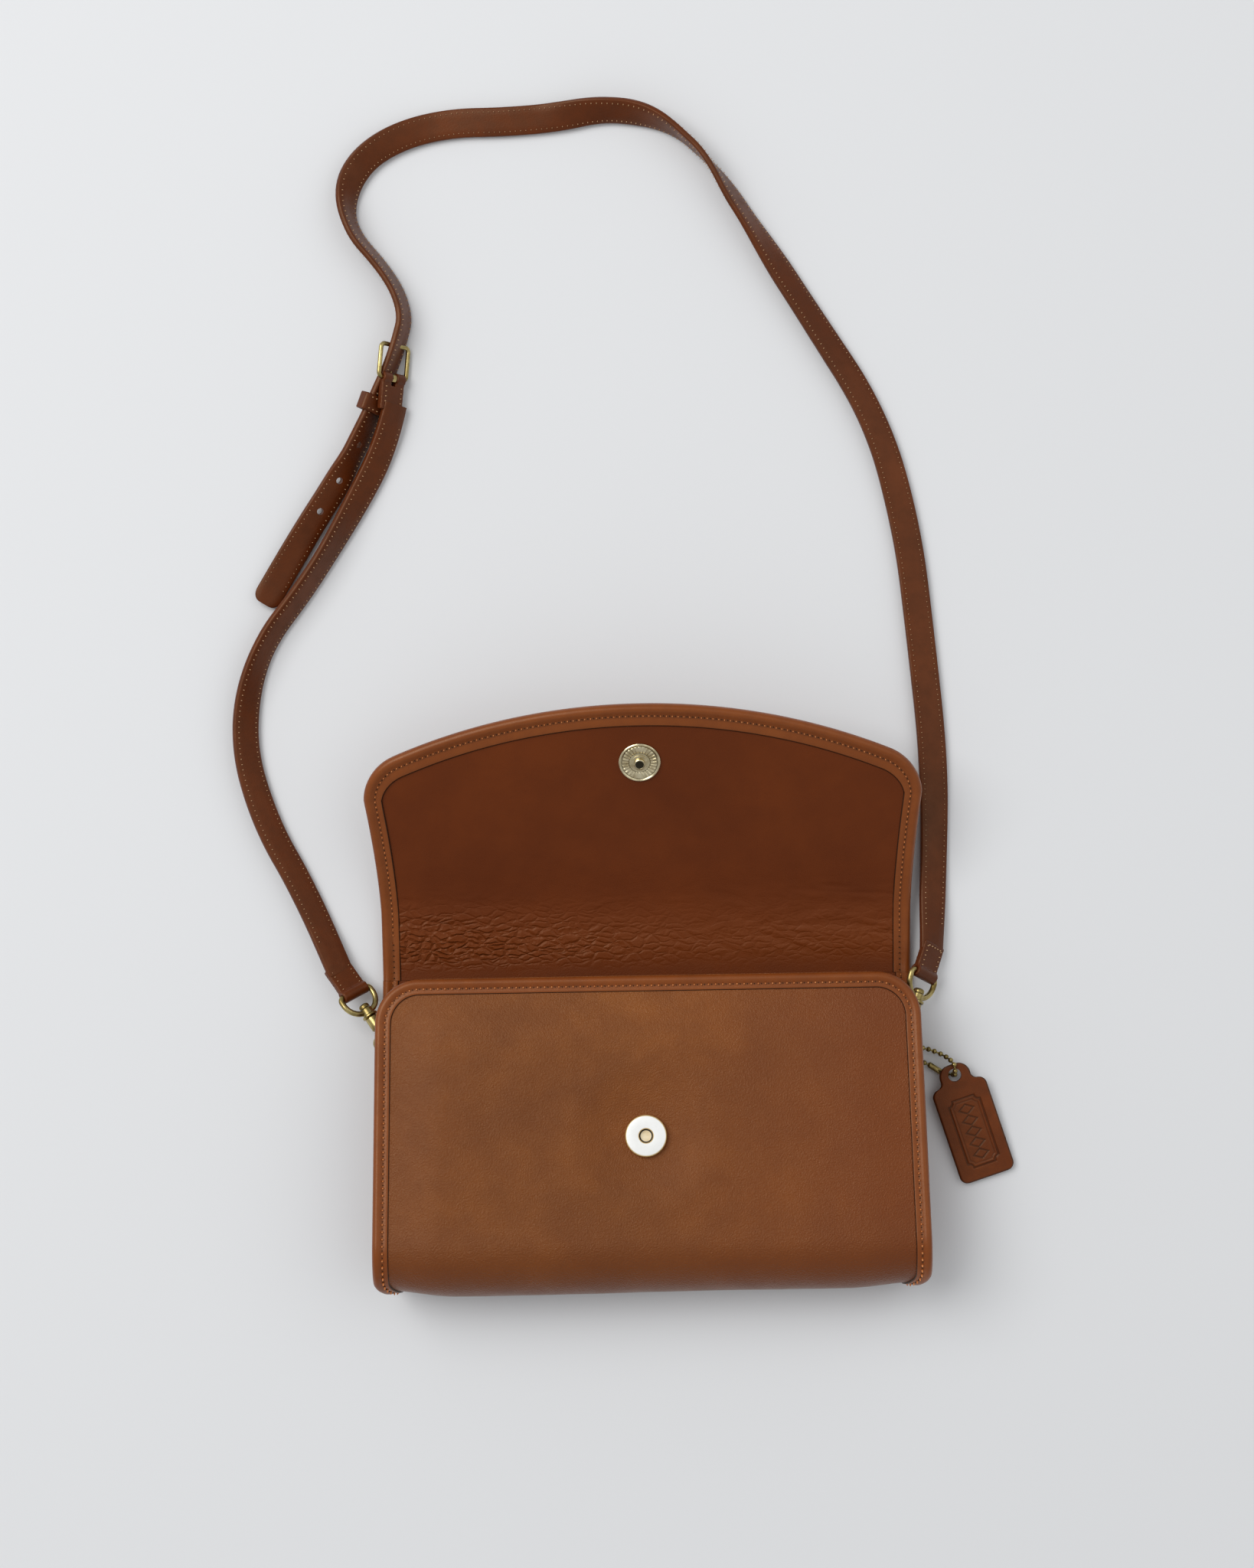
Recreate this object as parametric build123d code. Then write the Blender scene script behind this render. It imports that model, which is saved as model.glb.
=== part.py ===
from build123d import *
import math
import os

# Crossbody flap purse, lying on its back with the flap open and the strap laid out beyond it.
# X runs across the bag, +Y from its bottom towards the flap and the strap, +Z up from the table.
# The origin is the middle of the back panel's outer face. All sizes are in millimetres.

# ---- bag body ----
body_length = 136.0  # bottom edge to the front panel's top edge
width_top = 237.0  # over the binding, at the front panel's top edge
width_bottom = 242.0
depth_top = 26.0
depth_bottom = 45.0
front_bend = 20.0  # outside radius where the front panel turns under
back_bend = 10.0
seam_height = 16.0  # where the front panel laps onto the back panel, on the bottom wall
front_corner = 19.5  # top corners of the front panel
bottom_corner = 10.0  # the sides draw in towards the bottom wall
panel_leather = 2.0
lining_leather = 1.2
gusset_leather = 1.4

# ---- binding ----
binding_width = 7.0
binding_leather = 1.0
flap_binding_width = 8.0
crown_binding_width = 10.0

# ---- gussets and ring tabs ----
gusset_inset = 8.0  # from the outer edge to the gusset's foot
gusset_fold = 6.0  # how far the gusset's web folds in from its foot
gusset_web = 16.0  # flat middle of the folded web
tab_width = 11.6
tab_length = 20.0
tab_leather = 1.4
lining_clear = 3.0  # from the gusset's foot to the back's lining
ring_y = 29.5  # the rings' straight bars

# ---- flap ----
fold_gap = 0.3  # half the gap that each fold line opens in the plain leather
binding_fold_gap = 1.0  # half the gap in the raised binding, which lets the flap turn past 60 degrees
fold_stand_off = 2.5  # from the front panel's top edge to the first fold
strip_slope = 8.0  # how the strip over the top rises when the flap lies open
flap_slope = 26.5
flap_width_fold = 234.0
flap_width_corner = 241.0
flap_corner = 24.0
crown_radius = 260.0
crown_beyond_stud = 28.0
side_hollow = 1.2  # how far each side of the flap curves in

# ---- magnetic snap ----
snap_radius = 9.0
snap_offset = -1.8  # the snap sits a little left of the middle
snap_below_edge = 69.5
socket_height = 3.0
socket_wall = 0.5
socket_hole_radius = 3.0
socket_floor = 0.5
core_radius = 2.4
core_height = 0.4
magnet_radius = 8.2
stud_plate_height = 0.8
stud_radius = 2.5
stud_height = 2.1
collar_radius = 3.6
collar_height = 0.5
snap_gap = 0.3  # between the socket and the stud's plate when shut
washer_radius = 7.0
washer_height = 0.7
prong_spacing = 8.0
prong_width = 4.0
prong_leather_slot = 0.8

# ---- rings, hooks and their eyes ----
ring_wire = 2.2
ring_inside = 12.0
ring_leg = 2.0
ring_corner = 1.2
hinge_clearance = 0.08
ring_lean = 30.0  # the rings lean out from the bag's length
hook_wire = 2.8
hook_bow = 5.0  # radius of the bow's wire centre
ring_play = 1.0  # how far the ring stands from the middle of the bow
hook_slope = 13.0
hook_turn_left = 35.0  # the left hook leans out this far from the bag's length
hook_turn_right = 19.5
hook_reach = 30.5  # ring to the bar that the strap folds round
neck_length = 4.5
barrel_radius = 2.9
barrel_chamfer = 0.6
barrel_end = 17.0
collar_length = 1.2
swivel_gap = 0.2
boss_length = 2.6
stem_in_barrel = 4.0
stem_head_height = 2.0
stem_radius = 1.35
stem_head_radius = 2.4
stem_head_gap = 0.6  # lets the head clear the eye's bow
eye_wire = 2.5
eye_inside = 13.6
eye_lean_right = -40.0  # the right eye and its loop lean up towards the bag
eye_lean_left = 36.0  # the left ones lean up away from it
boss_radius = 2.7
gate_wire = 2.2
gate_pin_radius = 0.5
gate_knuckle_radius = 1.6
gate_knob_radius = 1.2
gate_gap = 0.4  # between the gate's end and the bow's tip
pivot_beyond_ring = 7.4
ear_thickness = 1.0
ear_gap = 0.3

# ---- strap ----
strap_width = 12.7
strap_leather = 2.6
strap_lean = 45.0  # the strap lies half on its edge
strap_height = 5.8  # of its centre line
tail_height = 7.7  # the free end rides on the keeper's wall
loop_length = 14.0
strap_into_loop = 3.0  # how far the strap's end runs inside the sewn loop
hole_radius = 1.5
hole_spacing = 16.8
hole_count = 3
first_hole = (-123.4, 302.7)
hole_line_turn = -32.7  # the free end's heading where it is punched

# ---- buckle ----
buckle_wire = 2.0
buckle_length = 16.6
buckle_width = 18.4
buckle_lean = 48.0
buckle_centre = (-107.2, 339.6)
buckle_turn = -6.0
prong_wire = 1.9
keeper_wall = 1.2
keeper_length = 7.5
keeper_centre = (-116.0, 320.8)
keeper_turn = -21.0
keeper_corner = 1.4
keeper_clearance = 0.3
prong_slot = 1.0  # the fold's slot is this much wider than the prong

# ---- tag and bead chain ----
bead_diameter = 2.3
bead_pitch = 2.95
link_diameter = 0.8
link_into_bead = 0.3
coupling_wall = 0.15
chain_clear = 0.4  # between the chain and the ring's leg
chain_on_leg = 4.3  # from the ring's bar to where the chain hangs on its leg
tag_length = 53.0
tag_width = 25.0
tag_leather = 2.4
tag_tab_width = 14.0
tag_tab_length = 9.0
tag_corner = 3.4
tag_waist = 1.8
tag_hole_radius = 2.8
tag_hole_inset = 5.0
tag_beyond_edge = 16.9  # the tag's hole, outside the front panel's top corner
tag_hole_y = 20.2
tag_lift = 3.2
tag_turn = 18.0
tag_tilt = 3.2

# The strap's route over the table, from the right hook's loop round to the buckle.
long_route = [
    (128, 115), (129, 160), (124, 214), (119, 262), (106, 312), (77, 358), (52, 398), (28, 436),
    (-2, 452), (-45, 446), (-92, 446), (-124, 429), (-129, 402), (-108, 378), (-101.5, 361),
    (-104.5, 349.5),
]
# The free end beyond the buckle, and the short piece from the buckle to the left hook's loop.
tail_route = [(-113.6, 327), (-118, 315.5), (-130, 292), (-150, 262), (-167, 234)]
short_route = [
    (-107, 321), (-111, 304), (-127, 274), (-146, 243), (-170, 213), (-178, 175), (-168, 137), (-150, 105),
]

# ---- worked-out places ----
tag_hole = (width_top / 2 + tag_beyond_edge, tag_hole_y)
half_length = body_length / 2
front_tilt = math.degrees(math.atan2(depth_bottom - depth_top, body_length))
tilt_sin = math.sin(math.radians(front_tilt))
tilt_cos = math.cos(math.radians(front_tilt))
tilt_tan = tilt_sin / tilt_cos
fold_y = half_length + fold_stand_off
fold_z = panel_leather + lining_leather
snap_lift = socket_height + stud_plate_height + snap_gap
# The shut flap lies parallel to the front panel, lifted off it by the snap.
strip_length = depth_top - fold_stand_off * tilt_tan + snap_lift / tilt_cos - fold_z
socket_y = half_length - snap_below_edge * tilt_cos
socket_z = depth_top + snap_below_edge * tilt_sin
stud_reach = (fold_y - (socket_y + snap_lift * tilt_sin)) / tilt_cos
flap_reach = stud_reach + crown_beyond_stud
strip_turn = 90.0 - strip_slope
flap_turn = 180.0 - front_tilt - flap_slope - strip_turn
second_fold_y = fold_y + strip_length * math.cos(math.radians(strip_slope))
second_fold_z = fold_z + strip_length * math.sin(math.radians(strip_slope))


def save(name, shape):
    shape.label = name
    export_step(shape, os.path.join("parts", name + ".step"))


def on_edge(y):
    """Half the bag's width over its binding at a place along its length."""
    return (width_top + (width_bottom - width_top) * (half_length - y) / body_length) / 2


def mirrored(shape):
    return mirror(shape, about=Plane.YZ)


# ---- bag body ----
def bag_outline(inset):
    """Top view of the bag's front, drawn in by an inset."""
    corners = Polyline(
        (-width_bottom / 2, -half_length),
        (-width_top / 2, half_length),
        (width_top / 2, half_length),
        (width_bottom / 2, -half_length),
        close=True,
    )
    face = make_face(corners)
    face = fillet(face.vertices().group_by(Axis.Y)[-1], front_corner)
    face = fillet(face.vertices().group_by(Axis.Y)[0], bottom_corner)
    if inset:
        face = offset(face, amount=-inset)
    return face


def side_section(inset):
    """Side view of the bag's hollow body, drawn in by an inset and run on past its open top."""
    past = half_length + 60
    outline = Polyline(
        (-half_length, 0),
        (past, 0),
        (past, depth_top - 60 * tilt_tan),
        (-half_length, depth_bottom),
        close=True,
    )
    face = make_face(outline)
    ends = face.vertices().group_by(Axis.X)[0].sort_by(Axis.Y)
    face = fillet(ends[0], back_bend)
    face = fillet(face.vertices().group_by(Axis.X)[0].sort_by(Axis.Y)[-1], front_bend)
    if inset:
        face = offset(face, amount=-inset)
    return face


def across(face, half_width=width_bottom):
    """A side view swept right across the bag."""
    return extrude(Plane.YZ * face, amount=half_width, both=True)


def span(x, y, z):
    """A box from three pairs of limits."""
    size = [pair[1] - pair[0] for pair in (x, y, z)]
    middle = [(pair[1] + pair[0]) / 2 for pair in (x, y, z)]
    return Pos(*middle) * Box(*size)


far = 400.0
front_zone = span((-far, far), (-far, half_length), (seam_height, far))
back_zone = span((-far, far), (-far, fold_y - fold_gap), (-far, seam_height))


def upright(face):
    return extrude(face, amount=far, both=True)


def rod(start, length, radius):
    """A cylinder along X from a starting place."""
    return Pos(start + length / 2, 0, 0) * Rot(0, 90, 0) * Cylinder(radius, length)


def skin(near, deep):
    """The body's wall between two depths from its outer face."""
    return across(side_section(near)) - across(side_section(deep))


def front_frame():
    return Pos(snap_offset, socket_y, socket_z) * Rot(-front_tilt, 0, 0)


def prong_pair(thickness, depth_from, depth_to):
    """Two flat prongs of the snap, across the frame's X."""
    prongs = Part()
    for side in (-1, 1):
        middle = (depth_from + depth_to) / 2
        prong = Box(thickness, prong_width, depth_to - depth_from)
        prongs += Pos(side * prong_spacing / 2, 0, middle) * prong
    return prongs


def front_panel():
    panel = skin(0, panel_leather) & front_zone & upright(bag_outline(binding_leather))
    slots = prong_pair(prong_leather_slot, -panel_leather - 1, 1)
    return panel - front_frame() * slots


def front_binding(panel):
    ring = upright(bag_outline(0)) - upright(bag_outline(binding_width))
    clear = width_bottom / 2 - bottom_corner - binding_width
    ring -= span((-clear, clear), (-far, 0), (-far, far))
    wrap = skin(0, panel_leather + binding_leather) & front_zone
    proud = skin(0, panel_leather) & front_zone
    proud = Pos(0, 0, binding_leather) * proud
    return (ring & (wrap + proud)) - panel


def back_panel():
    """The back's leather, up the bottom wall to the lap seam and on to the first fold."""
    sheet = skin(0, panel_leather) & back_zone
    sides = make_face(
        Polyline(
            (-on_edge(-half_length) + binding_leather, -half_length),
            (-flap_width_fold / 2 + binding_leather, fold_y),
            (flap_width_fold / 2 - binding_leather, fold_y),
            (on_edge(-half_length) - binding_leather, -half_length),
            close=True,
        )
    )
    sides = fillet(sides.vertices().group_by(Axis.Y)[0], bottom_corner)
    return sheet & upright(sides)


def back_lining():
    edge = width_top / 2 - gusset_inset - gusset_leather - lining_clear
    low = -half_length + back_bend + panel_leather
    return span((-edge, edge), (low, fold_y - fold_gap), (panel_leather, fold_z))


def back_binding(panel):
    """The strip that binds the back panel's right edge, flush with its outer face."""
    strip = make_face(
        Polyline(
            (on_edge(-half_length) - binding_width, -half_length + back_bend),
            (flap_width_fold / 2 - binding_width, fold_y - fold_gap),
            (flap_width_fold / 2, fold_y - fold_gap),
            (on_edge(-half_length), -half_length + back_bend),
            close=True,
        )
    )
    return extrude(strip, amount=panel_leather + binding_leather) - panel


def gusset_section(y, floor, roof):
    """One folded section of the right gusset: foot, web, foot."""
    foot = on_edge(y) - gusset_inset
    web = foot - gusset_fold
    middle = (floor + roof) / 2
    points = [
        (foot, floor),
        (web, middle - gusset_web / 2),
        (web, middle + gusset_web / 2),
        (foot, roof),
        (foot - gusset_leather, roof),
        (web - gusset_leather, middle + gusset_web / 2),
        (web - gusset_leather, middle - gusset_web / 2),
        (foot - gusset_leather, floor),
    ]
    return make_face(Polyline(*[(x, y, z) for x, z in points], close=True))


def gusset(binding):
    """The right side wall, its web folded in, cut to the body's inside."""
    top = half_length - binding_width - 1
    low = -half_length
    roofs = [depth_top + (half_length - y) * tilt_tan for y in (top, low)]
    sections = [
        gusset_section(top, panel_leather, roofs[0]),
        gusset_section(low, panel_leather, roofs[1]),
    ]
    wall = loft(sections, ruled=True)
    return (wall & across(side_section(panel_leather))) - binding


def web_place(y):
    """A frame on the right gusset's web, its X pointing out of the bag."""
    taper = math.degrees(math.atan2((width_bottom - width_top) / 2, body_length))
    x = on_edge(y) - gusset_inset - gusset_fold
    roof = depth_top + (half_length - y) * tilt_tan
    z = (panel_leather + roof) / 2
    return x, z, taper


ring_web, ring_z, web_taper = web_place(ring_y)
tab_loop_radius = ring_wire / 2 + hinge_clearance + tab_leather
ring_x = ring_web + tab_loop_radius
ring_centre_line = ring_inside / 2 + ring_wire / 2
ring_depth = ring_leg + ring_centre_line


def ring_tab():
    """The leather tab sewn to the web, folded round the ring's bar."""
    thick = 2 * tab_leather
    sewn = Pos(thick / 2, -tab_length / 2, 0) * Box(thick, tab_length, tab_width)
    sewn = Pos(ring_web, ring_y, ring_z) * Rot(0, 0, web_taper) * sewn
    loop = Pos(ring_x, ring_y, ring_z) * Cylinder(tab_loop_radius, tab_width)
    bore = Pos(ring_x, ring_y, ring_z) * Cylinder(ring_wire / 2 + hinge_clearance, tab_width + 2)
    return sewn + loop - bore


def d_ring():
    """The right D-ring: a straight bar along Z and a round bow leaning out."""
    corner = ring_corner
    reach = ring_depth
    wide = ring_centre_line
    path = FilletPolyline(
        (0, 0, 0), (0, 0, wide), (reach, 0, wide), (reach, 0, -wide), (0, 0, -wide), (0, 0, -0.01),
        radius=[corner, wide - 0.05, wide - 0.05, corner],
    )
    bend = sweep(Plane(origin=(0, 0, 0), z_dir=(0, 0, 1)) * Circle(ring_wire / 2), path=path)
    closing = Cylinder(ring_wire / 2, 1.0)
    return Pos(ring_x, ring_y, ring_z) * Rot(0, 0, 90 - ring_lean) * (bend + closing)


# ---- hooks ----
contact_x = ring_x + ring_depth * math.sin(math.radians(ring_lean))
contact_y = ring_y + ring_depth * math.cos(math.radians(ring_lean))


def hook_frame(turn):
    """A frame at the right ring's bow: X along the hook to the strap, Z out of the bow's plane."""
    return Pos(contact_x, contact_y, ring_z) * Rot(0, 0, 90 - turn) * Rot(0, hook_slope, 0)


neck_x = ring_play + hook_bow + neck_length
collar_outer = barrel_radius + 0.6
collar_end = barrel_end + collar_length
stem_start = collar_end - stem_in_barrel
boss_start = collar_end + swivel_gap
boss_end = boss_start + boss_length
pivot_x = ring_play + pivot_beyond_ring
pivot_y = hook_bow - hook_wire / 2
tip_x = ring_play + 0.2
ear_radius = gate_pin_radius + 1.2


def hook_body():
    """Bow, neck, barrel, collar and the two ears that hold the gate's pin."""
    path = FilletPolyline(
        (neck_x + 1, 0, 0),
        (neck_x - 2, 0, 0),
        (neck_x - 4.4, -hook_bow, 0),
        (ring_play - hook_bow, -hook_bow, 0),
        (ring_play - hook_bow, hook_bow, 0),
        (tip_x, hook_bow, 0),
        radius=[2.0, 2.4, hook_bow - 0.05, hook_bow - 0.05],
    )
    bow = sweep(Plane(origin=path @ 0, z_dir=path % 0) * Circle(hook_wire / 2), path=path)
    barrel = rod(neck_x, barrel_end - neck_x, barrel_radius)
    barrel = chamfer(barrel.edges().filter_by(GeomType.CIRCLE), barrel_chamfer)
    collar = rod(barrel_end, collar_length, collar_outer)
    collar = fillet(collar.edges().filter_by(GeomType.CIRCLE), collar_length / 3)
    ears = Part()
    for side in (-1, 1):
        level = side * (gate_wire / 2 + ear_gap + ear_thickness / 2)
        knuckle = Pos(pivot_x, pivot_y, level) * Cylinder(ear_radius, ear_thickness)
        arm_length = neck_x + 1 - pivot_x
        arm = Pos(pivot_x + arm_length / 2, pivot_y - ear_radius, level)
        ears += knuckle + arm * Box(arm_length, 2 * ear_radius, ear_thickness)
    pin_bore = Pos(pivot_x, pivot_y, 0) * Cylinder(gate_pin_radius, 4 * hook_wire)
    stem_bore = rod(stem_start, collar_end - stem_start, stem_radius)
    return bow + barrel + collar + ears - pin_bore - stem_bore


def hook_rivet():
    """The swivel's stem and its domed head inside the eye."""
    head_start = boss_end + stem_head_gap
    stem = rod(stem_start, head_start - stem_start, stem_radius)
    head = rod(head_start, stem_head_height, stem_head_radius)
    head = fillet(head.edges().filter_by(GeomType.CIRCLE).sort_by(Axis.X)[-1], stem_head_radius / 2)
    return stem + head


def hook_gate():
    """The sprung gate that shuts the bow, with its thumb knob."""
    start = Vector(pivot_x, pivot_y, 0)
    end = Vector(tip_x + gate_gap, hook_bow, 0)
    along = end - start
    middle = (start + end) * 0.5
    bar = Plane(origin=middle, z_dir=along) * Cylinder(gate_wire / 2, along.length)
    knuckle = Pos(pivot_x, pivot_y, 0) * Cylinder(gate_knuckle_radius, gate_wire)
    knob = Pos(middle.X, middle.Y + gate_wire / 2, 0) * Sphere(gate_knob_radius)
    bore = Pos(pivot_x, pivot_y, 0) * Cylinder(gate_pin_radius + hinge_clearance, 4 * gate_wire)
    return bar + knuckle + knob - bore


def gate_pin():
    return Pos(pivot_x, pivot_y, 0) * Cylinder(gate_pin_radius, gate_wire + 2 * (ear_gap + ear_thickness))


def strap_eye(lean):
    """The D-shaped eye at the strap's end, with the boss that the swivel turns in."""
    wide = eye_inside / 2 + eye_wire / 2
    apex = (boss_start + boss_end) / 2
    path = FilletPolyline(
        (hook_reach, 0, 0),
        (hook_reach, wide, 0),
        (apex, wide, 0),
        (apex, -wide, 0),
        (hook_reach, -wide, 0),
        (hook_reach, -0.01, 0),
        radius=[eye_wire * 0.9, wide - 0.6, wide - 0.6, eye_wire * 0.9],
    )
    wire = sweep(Plane(origin=path @ 0, z_dir=path % 0) * Circle(eye_wire / 2), path=path)
    wire += Pos(hook_reach, 0, 0) * Rot(90, 0, 0) * Cylinder(eye_wire / 2, 1.0)
    boss = rod(boss_start, boss_length, boss_radius)
    bore = rod(boss_start - boss_length, 3 * boss_length, stem_radius + hinge_clearance)
    return Rot(-lean, 0, 0) * (wire + boss - bore)


def strap_loop(lean):
    """The strap's end, folded round the eye's bar and sewn to itself."""
    inside = eye_wire / 2 + 0.15
    outside = inside + strap_leather / 2
    fold = Pos(hook_reach, 0, 0) * Rot(90, 0, 0) * Cylinder(outside, strap_width)
    flat = Pos(hook_reach + loop_length / 2, 0, 0) * Box(loop_length, strap_width, strap_leather)
    bore = Pos(hook_reach, 0, 0) * Rot(90, 0, 0) * Cylinder(inside, strap_width + 2)
    return Rot(-lean, 0, 0) * (fold + flat - bore)


# ---- strap ----
def loop_tip(turn):
    """Where the strap starts inside the right hook's sewn loop, seen from above."""
    tip = hook_frame(turn) * Pos(hook_reach + loop_length - strap_into_loop, 0, 0)
    return tip.position.X, tip.position.Y


def route_radii(points):
    """Each bend as large as its two runs allow."""
    radii = []
    for before, here, after in zip(points, points[1:], points[2:]):
        first = Vector(*here) - Vector(*before)
        second = Vector(*after) - Vector(*here)
        turn = first.get_angle(second)
        radii.append(0.45 * min(first.length, second.length) / math.tan(math.radians(turn / 2)))
    return radii


def strap_band(name, route, height, lean):
    """A flat leather band along a route, its right-hand edge up by the lean."""
    points = [(x, y, height) for x, y in route]
    radii = route_radii(points)
    path = FilletPolyline(*points, radius=radii)
    ahead = path % 0
    plane = Plane(origin=path @ 0, x_dir=Vector(ahead.Y, -ahead.X, 0), z_dir=ahead)
    section = plane * Rot(0, 0, -lean) * Rectangle(strap_width, strap_leather)
    band = sweep(section, path=path)
    expected = strap_width * strap_leather * path.length
    print(name, "length", round(path.length, 1), "volume ratio", round(band.volume / expected, 4))
    print("  radii", [round(radius) for radius in radii])
    return band


def punched_tail(band):
    """Adjusting holes along the free end, square to its leaning face."""
    x, y = first_hole
    for index in range(hole_count):
        along = Pos(x, y, tail_height) * Rot(0, 0, hole_line_turn) * Pos(0, -index * hole_spacing, 0)
        band -= along * Rot(0, strap_lean, 0) * Cylinder(hole_radius, 4 * strap_leather)
    return band


# ---- buckle ----
def buckle_frame_place():
    lift = (buckle_width / 2) * math.sin(math.radians(buckle_lean)) + buckle_wire / 2
    x, y = buckle_centre
    return Pos(x, y, lift) * Rot(0, 0, buckle_turn) * Rot(0, buckle_lean, 0)


def buckle_frame():
    wide = (buckle_width - buckle_wire) / 2
    long = (buckle_length - buckle_wire) / 2
    path = FilletPolyline(
        (0, -long, 0), (wide, -long, 0), (wide, long, 0),
        (-wide, long, 0), (-wide, -long, 0), (-0.01, -long, 0),
        radius=[buckle_wire] * 4,
    )
    wire = sweep(Plane(origin=path @ 0, z_dir=path % 0) * Circle(buckle_wire / 2), path=path)
    return wire + Pos(0, -long, 0) * Rot(0, 90, 0) * Cylinder(buckle_wire / 2, 1.0)


def buckle_prong():
    """The prong, rolled round the heel bar, its tip on the far bar's underside."""
    long = (buckle_length - buckle_wire) / 2
    eye = Pos(0, -long, 0) * Rot(0, 90, 0) * Cylinder(buckle_wire / 2 + 1.0, prong_wire)
    level = -(buckle_wire / 2 + prong_wire / 2 + 0.1)
    shaft = Pos(0, 0.4, level) * Rot(90, 0, 0) * Cylinder(prong_wire / 2, buckle_length - 1.0)
    bore = Pos(0, -long, 0) * Rot(0, 90, 0) * Cylinder(buckle_wire / 2 + hinge_clearance, 6)
    return eye + shaft - bore


def strap_fold():
    """The short piece's end, folded round the heel bar with a gap for the prong."""
    long = (buckle_length - buckle_wire) / 2
    inside = buckle_wire / 2 + 0.15
    fold = Pos(0, -long, 0) * Rot(0, 90, 0) * Cylinder(inside + strap_leather / 2, strap_width)
    flat = Pos(0, -long - loop_length / 2, 0) * Box(strap_width, loop_length, strap_leather)
    bore = Pos(0, -long, 0) * Rot(0, 90, 0) * Cylinder(inside, strap_width + 2)
    gap = Pos(0, -long, 0) * Box(prong_wire + prong_slot, loop_length / 2, strap_width)
    return fold + flat - bore - gap


def strap_keeper():
    inner = Box(strap_width + 2 * keeper_clearance, keeper_length + 2, strap_leather + 2 * keeper_clearance)
    outer_width = strap_width + 2 * (keeper_clearance + keeper_wall)
    outer_height = strap_leather + 2 * (keeper_clearance + keeper_wall)
    outer = Box(outer_width, keeper_length, outer_height)
    outer = fillet(outer.edges().filter_by(Axis.Y), keeper_corner)
    x, y = keeper_centre
    place = Pos(x, y, tail_height) * Rot(0, 0, keeper_turn) * Rot(0, strap_lean, 0)
    return place * (outer - inner)


# ---- flap ----
def strip_frame():
    """Frame at the first fold: Y along the strip over the top, Z out of its inner face."""
    return Pos(0, fold_y, fold_z) * Rot(strip_slope, 0, 0)


def flap_frame():
    return Pos(0, second_fold_y, second_fold_z) * Rot(flap_slope, 0, 0)


def strip_piece(half_width, low, high):
    return strip_frame() * span((-half_width, half_width), (fold_gap, strip_length - fold_gap), (low, high))


def strip_binding():
    edge = flap_width_fold / 2
    along = (fold_gap, strip_length - binding_fold_gap)
    strip = span((edge - binding_width, edge), along, (-fold_z, binding_leather))
    leather = span((0, edge - binding_leather), (0, strip_length), (-fold_z, 0))
    return strip_frame() * (strip - leather)


def flap_outline(side_inset, crown_inset):
    """The flap seen square on, from the second fold to its bowed crown."""
    low = flap_width_fold / 2 - side_inset
    high = flap_width_corner / 2 - side_inset
    crown = flap_reach - crown_inset
    radius = crown_radius - crown_inset
    shoulder = crown - (radius - math.sqrt(radius ** 2 - high ** 2))
    middle = (low + high) / 2 - side_hollow
    lines = Curve() + [
        Line((-low, fold_gap), (low, fold_gap)),
        ThreePointArc((low, fold_gap), (middle, shoulder / 2), (high, shoulder)),
        ThreePointArc((high, shoulder), (0, crown), (-high, shoulder)),
        ThreePointArc((-high, shoulder), (-middle, shoulder / 2), (-low, fold_gap)),
    ]
    face = make_face(lines)
    corners = face.vertices().filter_by(lambda vertex: abs(vertex.Y - shoulder) < 0.01)
    return fillet(corners, flap_corner - side_inset)


def flap_sheet(side_inset, crown_inset, low, high):
    face = flap_outline(side_inset, crown_inset)
    return flap_frame() * Pos(0, 0, low) * extrude(face, amount=high - low)


def stud_frame():
    return flap_frame() * Pos(snap_offset, stud_reach, 0)


def flap_binding():
    outer = flap_sheet(0, 0, -fold_z - binding_leather, binding_leather)
    inner = flap_sheet(flap_binding_width, crown_binding_width, -fold_z - 3, 3)
    past_fold = flap_frame() * span((-far, far), (-far, binding_fold_gap), (-far, far))
    leather = flap_sheet(binding_leather, binding_leather, -fold_z, 0)
    return outer - inner - past_fold - leather


# ---- magnetic snap ----
def socket_case():
    case = Pos(0, 0, socket_height / 2) * Cylinder(snap_radius, socket_height)
    case = fillet(case.edges().sort_by(Axis.Z)[-1], 0.5)
    room_height = socket_height - socket_wall
    room = Pos(0, 0, room_height / 2) * Cylinder(snap_radius - socket_wall, room_height)
    hole = Cylinder(socket_hole_radius, 2 * socket_height + 2)
    return case - room - hole


def socket_magnet():
    level = (socket_floor + socket_height - socket_wall) / 2
    tall = socket_height - socket_wall - socket_floor
    return Pos(0, 0, level) * (Cylinder(magnet_radius, tall) - Cylinder(socket_hole_radius + 0.4, tall + 1))


def socket_base():
    plate = Pos(0, 0, socket_floor / 2) * Cylinder(snap_radius - socket_wall, socket_floor)
    legs = prong_pair(prong_leather_slot, -panel_leather - washer_height, 0)
    return plate + legs


def socket_core():
    return Pos(0, 0, socket_floor + core_height / 2) * Cylinder(core_radius, core_height)


def socket_washer():
    level = -panel_leather - washer_height / 2
    disc = Pos(0, 0, level) * Cylinder(washer_radius, washer_height)
    return disc - prong_pair(prong_leather_slot, -panel_leather - 2 * washer_height, 0)


def stud_plate():
    plate = Pos(0, 0, stud_plate_height / 2) * Cylinder(snap_radius, stud_plate_height)
    dish = Pos(0, 0, stud_plate_height - 0.1) * Cylinder(snap_radius - 0.8, 0.2)
    legs = prong_pair(prong_leather_slot, -lining_leather - washer_height, 0)
    bore = Cylinder(stud_radius - 1.0, 4)
    return plate - dish + legs - bore


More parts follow.
